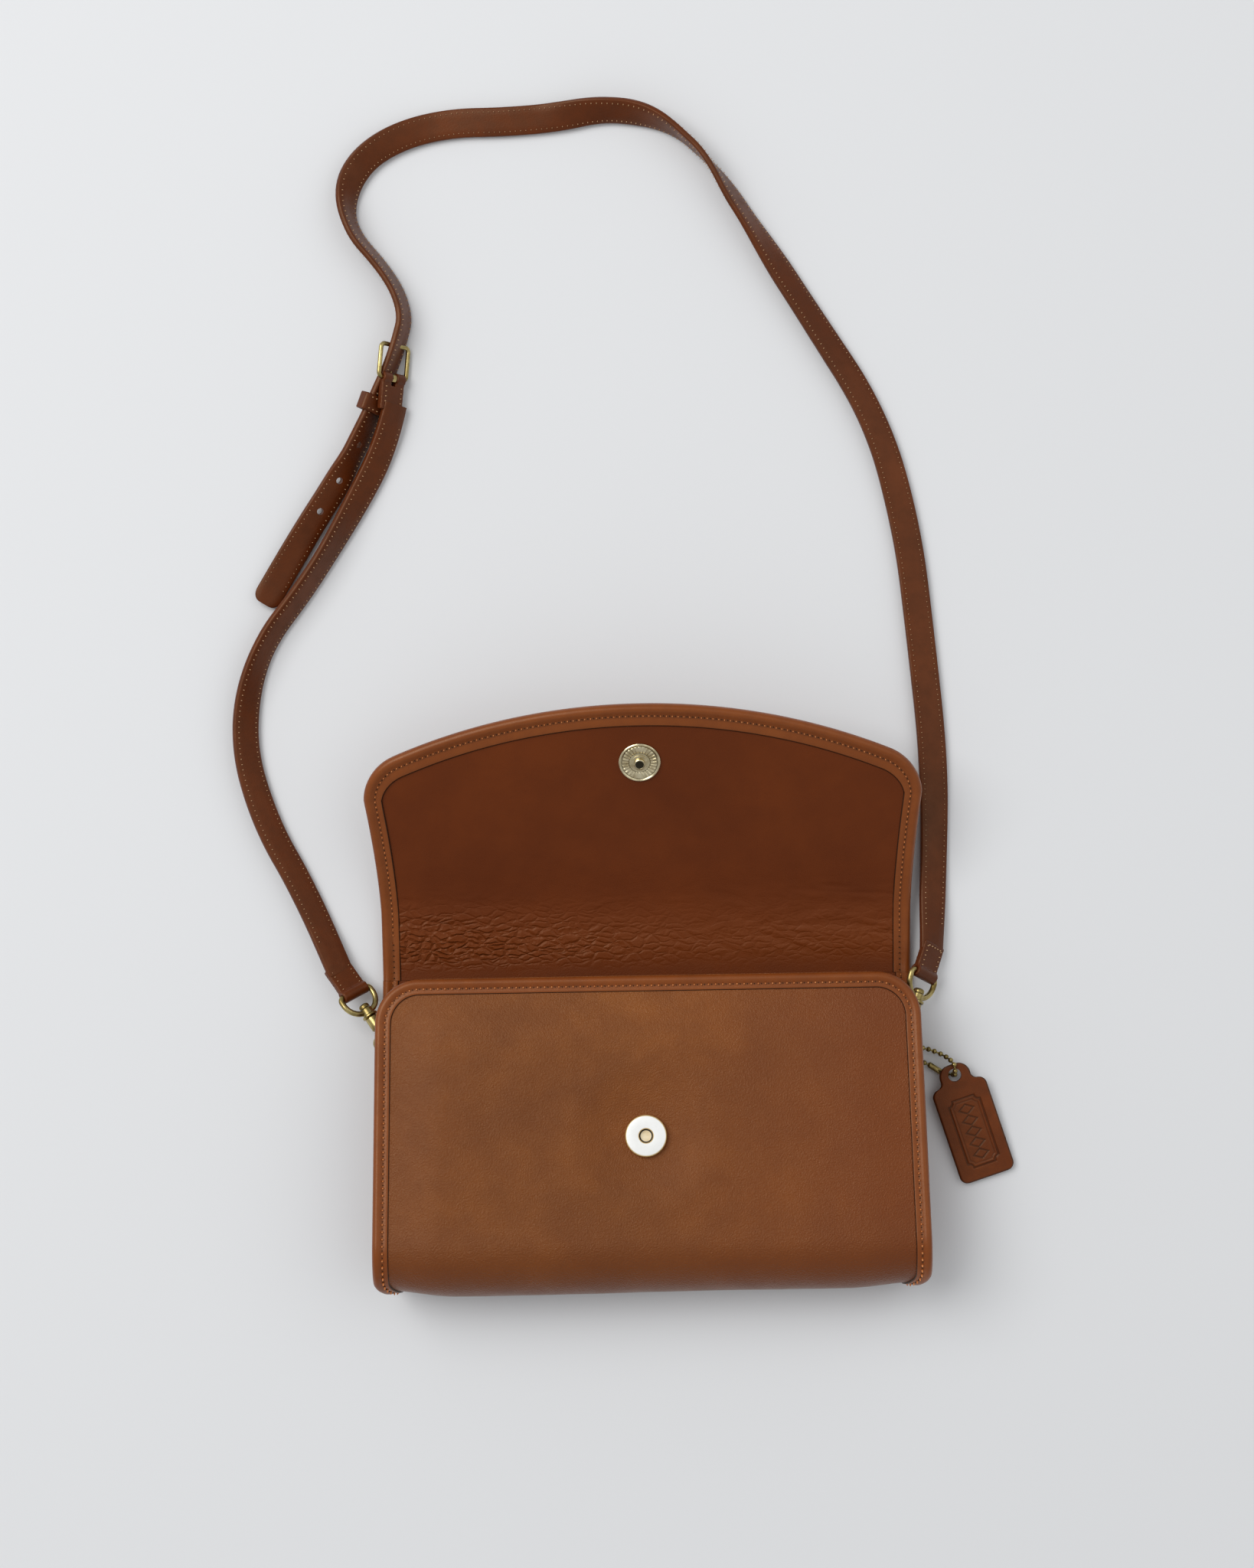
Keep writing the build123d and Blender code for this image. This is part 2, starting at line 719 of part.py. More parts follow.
def stud_post():
    """The stud riveted into its plate, with the stepped collar round its foot."""
    floor = stud_plate_height - 0.2
    rivet = Pos(0, 0, floor / 2) * Cylinder(stud_radius - 1.0, floor)
    collar = Pos(0, 0, floor + collar_height / 2) * Cylinder(collar_radius, collar_height)
    height = stud_plate_height + stud_height - floor
    post = Pos(0, 0, floor + height / 2) * Cylinder(stud_radius, height)
    post = fillet(post.edges().sort_by(Axis.Z)[-1], 0.4)
    return rivet + collar + post


def stud_washer_disc():
    return Pos(0, 0, -lining_leather - washer_height / 2) * Cylinder(washer_radius, washer_height)


def stud_washer():
    return stud_washer_disc() - prong_pair(prong_leather_slot, -lining_leather - 2 * washer_height, 0)


# ---- tag and chain ----
def hang_tag():
    """The leather tag, from its hole at the origin down to its square end along -Y."""
    top = tag_hole_inset
    shoulder = top - tag_tab_length
    low = top - tag_length
    half = tag_width / 2
    tab = tag_tab_width / 2
    body = Pos(0, (low + shoulder) / 2) * Rectangle(tag_width, shoulder - low)
    body = fillet(body.vertices(), tag_corner)
    neck = Pos(0, (shoulder - tag_corner + top) / 2) * Rectangle(2 * tab, top - shoulder + tag_corner)
    neck = fillet(neck.vertices().group_by(Axis.Y)[-1], tab - 1.0)
    face = body + neck
    shoulders = face.vertices().filter_by(lambda vertex: abs(vertex.Y - shoulder) < 0.1)
    waist = shoulders.filter_by(lambda vertex: abs(abs(vertex.X) - tab) < 0.1)
    face = fillet(waist, tag_waist)
    return extrude(face, amount=tag_leather) - Cylinder(tag_hole_radius, 20)


# The chain's loop: over the ring's lower leg, out past the bag's edge, through the tag and back.
leg_x = ring_x + chain_on_leg * math.sin(math.radians(ring_lean))
leg_y = ring_y + chain_on_leg * math.cos(math.radians(ring_lean))
leg_curve = math.sqrt(ring_centre_line ** 2 - (chain_on_leg - ring_leg) ** 2)
leg_z = ring_z - leg_curve
wrap = ring_wire / 2 + bead_diameter / 2 + chain_clear
wrap_x = wrap * math.cos(math.radians(ring_lean))
wrap_y = -wrap * math.sin(math.radians(ring_lean))
bead_rest = bead_diameter / 2 + 0.2
coupling_place = (127.6, 22.6, bead_rest)
chain_route = [
    (leg_x, leg_y, leg_z + wrap),
    (leg_x + 3.4, leg_y - 0.6, leg_z + 1.4),
    (118.6, 32.6, 6.0),
    (123.2, 31.8, 3.4),
    (128.5, 29.8, 2.2),
    (132.9, 27.4, 4.8),
    (135.3, 23.6, 8.1),
    (tag_hole[0], tag_hole[1] + 0.7, 6.8),
    (tag_hole[0], tag_hole[1], 3.8),
    (tag_hole[0] - 1.4, tag_hole[1] - 0.2, 1.7),
    (131.4, 20.4, bead_rest),
    coupling_place,
    (123.2, 25.2, 2.6),
    (119.2, 26.6, 4.9),
    (leg_x + 4.4, leg_y - 3.4, leg_z - wrap - 0.4),
    (leg_x, leg_y, leg_z - wrap),
    (leg_x - wrap_x, leg_y - wrap_y, leg_z),
]


def bead_chain():
    """Round beads on short links along the closed loop, open where the coupling joins it."""
    loop = Spline(*[Vector(*point) for point in chain_route], periodic=True)
    count = round(loop.length / bead_pitch)
    places = [loop @ (index / count) for index in range(count)]
    gaps = [(spot - Vector(*coupling_place)).length for spot in places]
    skipped = gaps.index(min(gaps))
    places = places[skipped + 1:] + places[:skipped]
    ways = [after - before for before, after in zip(places, places[1:])]
    ways.append(ways[-1])
    chain = Part()
    for spot, way in zip(places, ways):
        chain += Plane(origin=spot, z_dir=way) * Sphere(bead_diameter / 2)
    for spot, way in zip(places[:-1], ways):
        length = way.length - bead_diameter + 2 * link_into_bead
        chain += Plane(origin=spot + way * 0.5, z_dir=way) * Cylinder(link_diameter / 2, length)
    print("chain length", round(loop.length, 1), "beads", len(places))
    return chain, places[-1], places[0]


def chain_coupling(before, after):
    """The small barrel that snaps over the chain's two end beads."""
    along = after - before
    radius = bead_diameter / 2 + coupling_wall
    barrel = Cylinder(radius, along.length + bead_diameter / 2)
    barrel = fillet(barrel.edges().filter_by(GeomType.CIRCLE), radius / 3)
    return Plane(origin=(before + after) * 0.5, z_dir=along) * barrel


os.makedirs("parts", exist_ok=True)

panel = front_panel()
binding = front_binding(panel)
back = back_panel()
bound = back_binding(back)
side = gusset(binding) - bound
save("front_panel", panel)
save("front_binding", binding)
save("back_panel", back)
save("back_lining", back_lining())
save("back_binding_right", bound)
save("back_binding_left", mirrored(bound))
save("gusset_right", side)
save("gusset_left", mirrored(side))
save("ring_tab_right", ring_tab())
save("ring_tab_left", mirrored(ring_tab()))
save("d_ring_right", d_ring())
save("d_ring_left", mirrored(d_ring()))

snap = front_frame()
save("socket_case", snap * socket_case())
save("socket_magnet", snap * socket_magnet())
save("socket_base", snap * socket_base())
save("socket_core", snap * socket_core())
save("socket_washer", snap * socket_washer())

hook_pieces = {
    "hook_body": hook_body,
    "hook_rivet": hook_rivet,
    "hook_gate": hook_gate,
    "gate_pin": gate_pin,
}
for piece, make in hook_pieces.items():
    save(piece + "_right", hook_frame(hook_turn_right) * make())
    save(piece + "_left", mirrored(hook_frame(hook_turn_left) * make()))
save("strap_eye_right", hook_frame(hook_turn_right) * strap_eye(eye_lean_right))
save("strap_eye_left", mirrored(hook_frame(hook_turn_left) * strap_eye(eye_lean_left)))
save("strap_loop_right", hook_frame(hook_turn_right) * strap_loop(eye_lean_right))
save("strap_loop_left", mirrored(hook_frame(hook_turn_left) * strap_loop(eye_lean_left)))

right_tip = loop_tip(hook_turn_right)
left_tip = loop_tip(hook_turn_left)
save("strap_long", strap_band("strap_long", [right_tip] + long_route, strap_height, -strap_lean))
save("strap_tail", punched_tail(strap_band("strap_tail", tail_route, tail_height, strap_lean)))
to_hook = short_route + [(-left_tip[0], left_tip[1])]
save("strap_short", strap_band("strap_short", to_hook, strap_height, strap_lean))
place = buckle_frame_place()
save("buckle_frame", place * buckle_frame())
save("buckle_prong", place * buckle_prong())
save("strap_fold", place * strap_fold())
save("strap_keeper", strap_keeper())

strip_half = flap_width_fold / 2 - binding_leather
save("strip_leather", strip_piece(strip_half, -fold_z, -lining_leather))
save("strip_lining", strip_piece(strip_half, -lining_leather, 0))
save("strip_binding_right", strip_binding())
save("strip_binding_left", mirrored(strip_binding()))
leather = flap_sheet(binding_leather, binding_leather, -fold_z, -lining_leather)
save("flap_leather", leather - stud_frame() * stud_washer_disc())
lining = flap_sheet(binding_leather, binding_leather, -lining_leather, 0)
save("flap_lining", lining - stud_frame() * prong_pair(prong_leather_slot, -lining_leather - 1, 1))
save("flap_binding", flap_binding())
save("stud_plate", stud_frame() * stud_plate())
save("stud_post", stud_frame() * stud_post())
save("stud_washer", stud_frame() * stud_washer())

tag_place = Pos(tag_hole[0], tag_hole[1], tag_lift) * Rot(0, 0, tag_turn) * Rot(tag_tilt, 0, 0)
save("hang_tag", tag_place * hang_tag())
chain, chain_start, chain_end = bead_chain()
save("tag_chain", chain)
save("chain_coupling", chain_coupling(chain_start, chain_end))
print("fold turns", round(strip_turn, 2), round(flap_turn, 2))
print("second fold at", round(second_fold_y, 2), round(second_fold_z, 2))
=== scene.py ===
import bpy
import math
from mathutils import Matrix, Vector, noise


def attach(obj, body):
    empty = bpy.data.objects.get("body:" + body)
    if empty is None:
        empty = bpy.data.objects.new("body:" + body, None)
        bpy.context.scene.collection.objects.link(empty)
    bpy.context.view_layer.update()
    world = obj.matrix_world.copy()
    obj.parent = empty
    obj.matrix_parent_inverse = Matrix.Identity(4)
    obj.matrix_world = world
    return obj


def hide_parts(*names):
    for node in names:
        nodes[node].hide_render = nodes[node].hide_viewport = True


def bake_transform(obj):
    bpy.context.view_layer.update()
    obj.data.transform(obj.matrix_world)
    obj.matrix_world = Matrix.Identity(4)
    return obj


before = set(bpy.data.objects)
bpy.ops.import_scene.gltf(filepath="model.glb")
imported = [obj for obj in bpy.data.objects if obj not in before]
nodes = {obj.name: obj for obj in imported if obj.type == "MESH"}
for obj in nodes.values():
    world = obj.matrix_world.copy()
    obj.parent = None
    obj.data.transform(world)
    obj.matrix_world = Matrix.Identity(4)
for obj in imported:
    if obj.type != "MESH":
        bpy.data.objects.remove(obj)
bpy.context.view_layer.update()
print("stage: frame loaded, nodes", len(nodes))

mm = 0.001


# working helpers
def pickNothing():
    bpy.ops.object.select_all(action="DESELECT")


def pickOnly(piece):
    pickNothing()
    piece.select_set(True)
    bpy.context.view_layer.objects.active = piece


def tone(red, green, blue):
    # a colour as seen on screen, from 0 to 255, as the shader wants it
    def straight(value):
        value /= 255
        return value / 12.92 if value <= 0.04045 else ((value + 0.055) / 1.055) ** 2.4
    return (straight(red), straight(green), straight(blue), 1.0)


def between(low, high, share):
    return low + (high - low) * share


def eased(value, low, high):
    share = min(max((value - low) / (high - low), 0.0), 1.0)
    return share * share * (3 - 2 * share)


def applyAll(piece):
    pickOnly(piece)
    for modifier in list(piece.modifiers):
        bpy.ops.object.modifier_apply(modifier=modifier.name)


def smoothed(piece, angle=40):
    pickOnly(piece)
    bpy.ops.object.shade_smooth_by_angle(angle=math.radians(angle))


def inEdit(piece, *steps):
    # runs edit-mode steps on everything in a piece
    pickOnly(piece)
    bpy.ops.object.mode_set(mode="EDIT")
    bpy.ops.mesh.select_all(action="SELECT")
    for step in steps:
        step()
    bpy.ops.object.mode_set(mode="OBJECT")


def merged():
    bpy.ops.mesh.remove_doubles(threshold=0.000002)


def facingOut():
    bpy.ops.mesh.select_all(action="SELECT")
    bpy.ops.mesh.normals_make_consistent(inside=False)


def closedEnds():
    bpy.ops.mesh.select_all(action="DESELECT")
    bpy.ops.mesh.select_non_manifold()
    bpy.ops.mesh.fill_holes(sides=0)


def flatGrid(name, columns, rows):
    pickNothing()
    bpy.ops.mesh.primitive_grid_add(x_subdivisions=columns, y_subdivisions=rows, size=1.0)
    piece = bpy.context.object
    piece.name = name
    piece.data.name = name
    return piece


def shapedGrid(name, columns, rows, place):
    # a grid whose every point is put where place(u, v) says
    piece = flatGrid(name, columns, rows)
    for vertex in piece.data.vertices:
        vertex.co = place(vertex.co.x + 0.5, vertex.co.y + 0.5)
    return piece


def thickened(piece, thickness):
    # leather of a thickness, under the face that was shaped
    solid = piece.modifiers.new("leather", "SOLIDIFY")
    solid.thickness = thickness
    solid.offset = -1
    solid.use_even_offset = True
    applyAll(piece)
    return piece


def toned(piece, values):
    # how far each point is drawn towards its material's edge colour, which the materials read; on leather this
    # is the dark cut edge, and painted shade in the binding's stitch groove and the tag's pressed pattern
    layer = piece.data.attributes.new("edge", "FLOAT", "POINT")
    for item, value in zip(layer.data, values):
        item.value = value


def sweptSection(name, spots, sides, ups, section):
    # a closed section carried along a line of spots, its ends filled
    # a list of sections gives each spot its own
    sections = section if isinstance(section[0], list) else [section] * len(spots)
    around = len(sections[0])
    piece = flatGrid(name, len(spots) - 1, around)
    edges = []
    for vertex in piece.data.vertices:
        column = round((vertex.co.x + 0.5) * (len(spots) - 1))
        row = round((vertex.co.y + 0.5) * around) % around
        across, high, *edge = sections[column][row]
        edges.append(edge[0] if edge else 0.0)
        vertex.co = spots[column] + sides[column] * across + ups[column] * high
    toned(piece, edges)
    inEdit(piece, merged, closedEnds, facingOut)
    smoothed(piece, 50)
    return piece


def turned(name, profile, segments, pattern=None):
    # a profile of radius and height spun about the Z axis; the pattern lifts its face
    piece = flatGrid(name, segments, len(profile) - 1)
    edges = []
    for vertex in piece.data.vertices:
        angle = (vertex.co.x + 0.5) * 2 * math.pi
        radius, high, *edge = profile[round((vertex.co.y + 0.5) * (len(profile) - 1))]
        edges.append(edge[0] if edge else 0.0)
        if pattern:
            high += pattern(radius, angle)
        vertex.co = (radius * math.cos(angle) * mm, radius * math.sin(angle) * mm, high * mm)
    toned(piece, edges)
    inEdit(piece, merged, facingOut)
    smoothed(piece, 35)
    return piece


def placed(piece, place):
    # moves a finished mesh to its place and leaves the object at the origin
    for vertex in piece.data.vertices:
        vertex.co = place @ vertex.co
    return piece


softening = {"factor": 0.5, "passes": 4, "gain": 0.12 * mm, "lumpScale": 130}


def softened(name, source, voxel, lump, body, material, slot):
    # a leather piece rounded and made a little uneven from the plain shape
    piece = bpy.data.objects.new(name, nodes[source].data.copy())
    bpy.context.collection.objects.link(piece)
    remesh = piece.modifiers.new("skin", "REMESH")
    remesh.mode = "VOXEL"
    remesh.voxel_size = voxel
    soft = piece.modifiers.new("soft", "SMOOTH")
    soft.factor = softening["factor"]
    soft.iterations = softening["passes"]
    applyAll(piece)
    outward = [item.vector.copy() for item in piece.data.vertex_normals]
    for vertex, normal in zip(piece.data.vertices, outward):
        vertex.co += normal * (softening["gain"] + lump * noise.noise(vertex.co * softening["lumpScale"]))
    smoothed(piece, 60)
    dressed(piece, material, slot)
    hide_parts(source)
    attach(piece, body)
    return piece


def headings(spots):
    ways = []
    for index in range(len(spots)):
        before = spots[max(index - 1, 0)]
        after = spots[min(index + 1, len(spots) - 1)]
        ways.append((after - before).normalized())
    return ways


def distances(spots):
    run = [0.0]
    for before, after in zip(spots, spots[1:]):
        run.append(run[-1] + (after - before).length)
    return run


def smoothLine(points):
    # the closely spaced points of a NURBS route
    curve = bpy.data.curves.new("route", "CURVE")
    curve.dimensions = "3D"
    curve.resolution_u = 24
    spline = curve.splines.new("NURBS")
    spline.points.add(len(points) - 1)
    for slot, point in zip(spline.points, points):
        slot.co = (*point, 1.0)
    spline.order_u = 3
    spline.use_endpoint_u = True
    route = bpy.data.objects.new("route", curve)
    bpy.context.collection.objects.link(route)
    seen = route.evaluated_get(bpy.context.evaluated_depsgraph_get())
    mesh = bpy.data.meshes.new_from_object(seen)
    line = [vertex.co.copy() for vertex in mesh.vertices]
    bpy.data.objects.remove(route)
    bpy.data.meshes.remove(mesh)
    return line


def stretches(line, at):
    # for each distance along a line, the stretch it falls in and the share of that stretch
    run = distances(line)
    index = 0
    for distance in at:
        while index < len(run) - 2 and run[index + 1] < distance:
            index += 1
        yield index, (distance - run[index]) / max(run[index + 1] - run[index], 1e-9)


def blended(items, index, share):
    return items[index].lerp(items[index + 1], share)


def alongLine(line, at):
    return [blended(line, index, share) for index, share in stretches(line, at)]


def rounding(half, corner, past):
    # a half width drawn in by a round corner, past its start
    return half - corner + math.sqrt(max(corner ** 2 - past ** 2, 0))


def keyed(keys, distance):
    # a value eased between (distance, value) keys
    if distance <= keys[0][0]:
        return keys[0][1]
    for (start, low), (end, high) in zip(keys, keys[1:]):
        if distance <= end:
            return between(low, high, eased(distance, start, end))
    return keys[-1][1]


def copiesOf(name, shape, places):
    # one mesh made of a shape at many places
    verts = []
    faces = []
    for place in places:
        first = len(verts)
        verts += [place @ vertex.co for vertex in shape.data.vertices]
        faces += [[first + corner for corner in face.vertices] for face in shape.data.polygons]
    mesh = bpy.data.meshes.new(name)
    mesh.from_pydata(verts, [], faces)
    piece = bpy.data.objects.new(name, mesh)
    bpy.context.collection.objects.link(piece)
    smoothed(piece, 80)
    return piece


def stitchShape(length, wide, high):
    pickNothing()
    bpy.ops.mesh.primitive_uv_sphere_add(segments=8, ring_count=5, radius=0.5, rotation=(0, math.pi / 2, 0))
    shape = bpy.context.object
    shape.scale = (length, wide, high)
    bpy.ops.object.transform_apply(location=False, rotation=True, scale=False)
    shape.scale = (length, wide, high)
    bpy.ops.object.transform_apply(location=False, rotation=False, scale=True)
    return shape


def frameAt(spot, way, up):
    side = up.cross(way).normalized()
    lift = way.cross(side).normalized()
    turn = Matrix((way, side, lift)).transposed().to_4x4()
    return Matrix.Translation(spot) @ turn


def turnedFrame(spot, *turns):
    place = Matrix.Translation(Vector(spot) * mm)
    for axis, angle in turns:
        place = place @ Matrix.Rotation(math.radians(angle), 4, axis)
    return place


def dressed(piece, material, slot):
    piece.data.materials.clear()
    piece.data.materials.append(material)
    return piece


# camera, lights and floor
viewSetup = {
    "height": 1.3,
    "across": -0.00736,
    "along": 0.15145,
    "turn": -1.0,
    "lens": 67.15,
}
pickNothing()
bpy.ops.object.camera_add(
    location=(viewSetup["across"], viewSetup["along"], viewSetup["height"]),
    rotation=(0, 0, math.radians(viewSetup["turn"])),
)
camera = bpy.context.object
camera.data.lens = viewSetup["lens"]
camera.data.sensor_width = 36
bpy.context.scene.camera = camera

lightSetup = {
    "key": ((-1.4, 1.1, 2.2), 1.9, 47),
    "fill": ((1.5, 0.7, 2.1), 2.4, 9),
    "world": (0.97, 0.98, 1.0, 1.0),
    "worldStrength": 0.48,
}
for name in ("key", "fill"):
    place, size, power = lightSetup[name]
    pickNothing()
    bpy.ops.object.light_add(type="AREA", location=place)
    lamp = bpy.context.object
    lamp.name = name
    lamp.data.size = size
    lamp.data.energy = power
    aim = Vector((0, 0.15, 0)) - Vector(place)
    lamp.rotation_euler = aim.to_track_quat("-Z", "Y").to_euler()
world = bpy.data.worlds.new("room")
world.use_nodes = True
worldShader = world.node_tree.nodes["Background"].inputs
worldShader["Color"].default_value = lightSetup["world"]
worldShader["Strength"].default_value = lightSetup["worldStrength"]
bpy.context.scene.world = world
bpy.context.scene.view_settings.view_transform = "Standard"

pickNothing()
bpy.ops.mesh.primitive_plane_add(size=30, location=(0, 0, -0.0004))
floor = bpy.context.object
floor.name = "floor"
floorPaint = bpy.data.materials.new("floorPaint")
floorPaint.use_nodes = True
floorShader = floorPaint.node_tree.nodes["Principled BSDF"].inputs
floorShader["Base Color"].default_value = tone(226, 227, 228)
floorShader["Roughness"].default_value = 0.9
floor.data.materials.append(floorPaint)
print("stage: camera, lights and floor")


# materials
def newMaterial(name):
    material = bpy.data.materials.new(name)
    material.use_nodes = True
    tree = material.node_tree
    shader = tree.nodes["Principled BSDF"]
    return material, tree, shader


def node(tree, kind, **settings):
    made = tree.nodes.new(kind)
    for key, value in settings.items():
        if key in made.inputs:
            made.inputs[key].default_value = value
        else:
            setattr(made, key, value)
    return made


def join(tree, source, target):
    tree.links.new(source, target)


def textured(tree, kind, place, **settings):
    # a texture that reads the given place
    made = node(tree, kind, **settings)
    join(tree, place, made.inputs["Vector"])
    return made


def calculated(tree, operation, first, second):
    made = node(tree, "ShaderNodeMath", operation=operation)
    join(tree, first, made.inputs[0])
    join(tree, second, made.inputs[1])
    return made.outputs[0]


def mixed(tree, first, second, share):
    # colour between two, each a colour or a socket
    mix = node(tree, "ShaderNodeMix", data_type="RGBA")
    for value, slot in ((share, mix.inputs["Factor"]), (first, mix.inputs[6]), (second, mix.inputs[7])):
        if isinstance(value, (float, int, tuple)):
            slot.default_value = value
        else:
            join(tree, value, slot)
    return mix.outputs[2]


def ramped(tree, source, stops):
    ramp = node(tree, "ShaderNodeMapRange")
    low, high, out, top = stops
    ramp.inputs["From Min"].default_value = low
    ramp.inputs["From Max"].default_value = high
    ramp.inputs["To Min"].default_value = out
    ramp.inputs["To Max"].default_value = top
    join(tree, source, ramp.inputs["Value"])
    return ramp.outputs["Result"]


def leather(name, look):
    material, tree, shader = newMaterial(name)
    place = node(tree, "ShaderNodeTexCoord").outputs["Object"]
    clouds = textured(
        tree, "ShaderNodeTexNoise", place, Scale=look["cloudScale"], Detail=4.0, Roughness=0.55)
    streaks = textured(
        tree, "ShaderNodeTexNoise", place, Scale=look["mottleScale"], Detail=6.0, Roughness=0.65)
    cloudShare = ramped(tree, clouds.outputs["Fac"], (0.35, 0.68, 0.0, 1.0))
    mottleShare = ramped(tree, streaks.outputs["Fac"], (0.4, 0.62, 0.0, look["mottle"]))
    colour = mixed(tree, look["base"], look["warm"], cloudShare)
    colour = mixed(tree, colour, look["dark"], mottleShare)
    # colour eased towards a tone along an axis; on the front leather this is painted shade, redder and darker
    # towards the right (partly the leather's own tone) and darker towards the bottom, with a plainer brown
    # near the left edge
    for axis, near, far, strength, shade in look.get("tintsAndPaintedShade", ()):
        split = node(tree, "ShaderNodeSeparateXYZ")
        join(tree, place, split.inputs[0])
        colour = mixed(tree, colour, shade, ramped(tree, split.outputs[axis], (near, far, 0.0, strength)))
    # the edge colour: dark cut edges, and painted shade in grooves and pressed hollows
    darkEdgeAndShade = node(tree, "ShaderNodeAttribute", attribute_name="edge")
    colour = mixed(tree, colour, look.get("edge", tone(38, 20, 12)), darkEdgeAndShade.outputs["Fac"])
    smoothest = look["roughness"] - 0.06
    rough = ramped(tree, streaks.outputs["Fac"], (0.3, 0.7, smoothest, smoothest + 0.14))
    join(tree, rough, shader.inputs["Roughness"])
    shader.inputs["Specular IOR Level"].default_value = look.get("gloss", 0.4)
    shader.inputs["Specular Tint"].default_value = (1.0, 0.76, 0.5, 1.0)
    shader.inputs["Coat Weight"].default_value = look.get("coat", 0.0)
    shader.inputs["Coat Roughness"].default_value = 0.35
    pores = textured(tree, "ShaderNodeTexVoronoi", place, Scale=look["grainScale"], feature="SMOOTH_F1")
    fine = textured(tree, "ShaderNodeTexNoise", place, Scale=look["grainScale"] * 1.7, Detail=3.0)
    height = calculated(tree, "ADD", pores.outputs["Distance"], fine.outputs["Fac"])
    bump = node(tree, "ShaderNodeBump", Strength=look["grain"], Distance=look["grainDepth"])
    join(tree, height, bump.inputs["Height"])
    normal = bump.outputs["Normal"]
    if "creases" in look:
        colour, normal = creased(tree, place, colour, normal, look["creases"])
    join(tree, colour, shader.inputs["Base Color"])
    join(tree, normal, shader.inputs["Normal"])
    return material


def creased(tree, place, colour, normal, crease):
    # soft folds between two lines along the leather, stronger towards one side; the band between the lines is
    # also drawn lighter, a painted highlight where the creased leather faces the lamp
    split = node(tree, "ShaderNodeSeparateXYZ")
    join(tree, place, split.inputs[0])
    rise = ramped(tree, split.outputs["Y"], (*crease["from"], 0.0, 1.0))
    fall = ramped(tree, split.outputs["Y"], (*crease["to"], 1.0, 0.0))
    aside = ramped(tree, split.outputs["X"], (*crease["side"], 1.0, crease["least"]))
    near = calculated(tree, "MULTIPLY", rise, fall)
    zone = calculated(tree, "MULTIPLY", near, aside)
    warp = textured(tree, "ShaderNodeTexNoise", place, Scale=crease["scale"] * 0.4, Detail=3.0)
    bend = node(tree, "ShaderNodeVectorMath", operation="MULTIPLY_ADD")
    join(tree, warp.outputs["Color"], bend.inputs[0])
    bend.inputs[1].default_value = (crease["warp"], crease["warp"], crease["warp"])
    join(tree, place, bend.inputs[2])
    squeeze = node(tree, "ShaderNodeMapping")
    squeeze.inputs["Scale"].default_value = crease["squeeze"]
    join(tree, bend.outputs[0], squeeze.inputs["Vector"])
    cells = textured(
        tree, "ShaderNodeTexVoronoi", squeeze.outputs[0], Scale=crease["scale"], feature="DISTANCE_TO_EDGE")
    ridge = ramped(tree, cells.outputs["Distance"], (0.0, 0.22, 0.0, 1.0))
    fold = node(tree, "ShaderNodeBump", Distance=crease["depth"])
    join(tree, ridge, fold.inputs["Height"])
    join(tree, zone, fold.inputs["Strength"])
    join(tree, normal, fold.inputs["Normal"])
    return mixed(tree, colour, crease["colour"], near), fold.outputs["Normal"]


def metal(name, look):
    material, tree, shader = newMaterial(name)
    place = node(tree, "ShaderNodeTexCoord").outputs["Object"]
    stain = textured(tree, "ShaderNodeTexNoise", place, Scale=look["stainScale"], Detail=5.0, Roughness=0.6)
    share = ramped(tree, stain.outputs["Fac"], (0.38, 0.66, 0.0, 1.0))
    rim = node(tree, "ShaderNodeAttribute", attribute_name="edge")
    colour = mixed(tree, look["base"], look["dark"], share)
    colour = mixed(tree, colour, look.get("edge", look["dark"]), rim.outputs["Fac"])
    join(tree, colour, shader.inputs["Base Color"])
    rough = ramped(tree, stain.outputs["Fac"], (0.3, 0.7, look["roughness"], look["roughness"] + 0.14))
    join(tree, rough, shader.inputs["Roughness"])
    shader.inputs["Metallic"].default_value = look.get("metallic", 1.0)
    scuffs = textured(tree, "ShaderNodeTexNoise", place, Scale=look["stainScale"] * 6, Detail=3.0)
    bump = node(tree, "ShaderNodeBump", Strength=0.12, Distance=0.0002)
    join(tree, scuffs.outputs["Fac"], bump.inputs["Height"])
    join(tree, bump.outputs["Normal"], shader.inputs["Normal"])
    return material


frontLook = {
    "base": tone(110, 56, 17), "warm": tone(132, 72, 24), "dark": tone(100, 48, 14), "mottle": 0.35,
    "cloudScale": 15.0, "mottleScale": 70.0, "grainScale": 1500.0, "grain": 0.65, "grainDepth": 0.0004,
    "roughness": 0.31, "gloss": 0.4, "coat": 0.06,
    # painted shade: redder and darker towards the right, partly the leather's own tone, and darker towards the
    # bottom where the front turns down; then a plainer brown near the left edge
    "tintsAndPaintedShade": (
        ("X", -0.01, 0.11, 0.75, tone(112, 50, 16)), ("Y", -0.03, -0.066, 0.7, tone(100, 48, 18)),
        ("X", -0.07, -0.116, 0.35, tone(112, 56, 22)),
    ),
}
liningLook = {
    "base": tone(93, 38, 10), "warm": tone(106, 46, 13), "dark": tone(82, 31, 8), "mottle": 0.25,
    "cloudScale": 14.0, "mottleScale": 60.0, "grainScale": 1900.0, "grain": 0.3, "grainDepth": 0.0002,
    "roughness": 0.42, "gloss": 0.3,
    "creases": {
        "from": (0.069, 0.077), "to": (0.083, 0.104), "side": (-0.085, 0.02), "least": 0.3, "scale": 250.0,
        # the colour is a lighter brown over the creased band: painted highlight
        "warp": 0.006, "squeeze": (0.62, 1.5, 1.0), "depth": 0.0007, "colour": tone(108, 49, 16),
    },
}
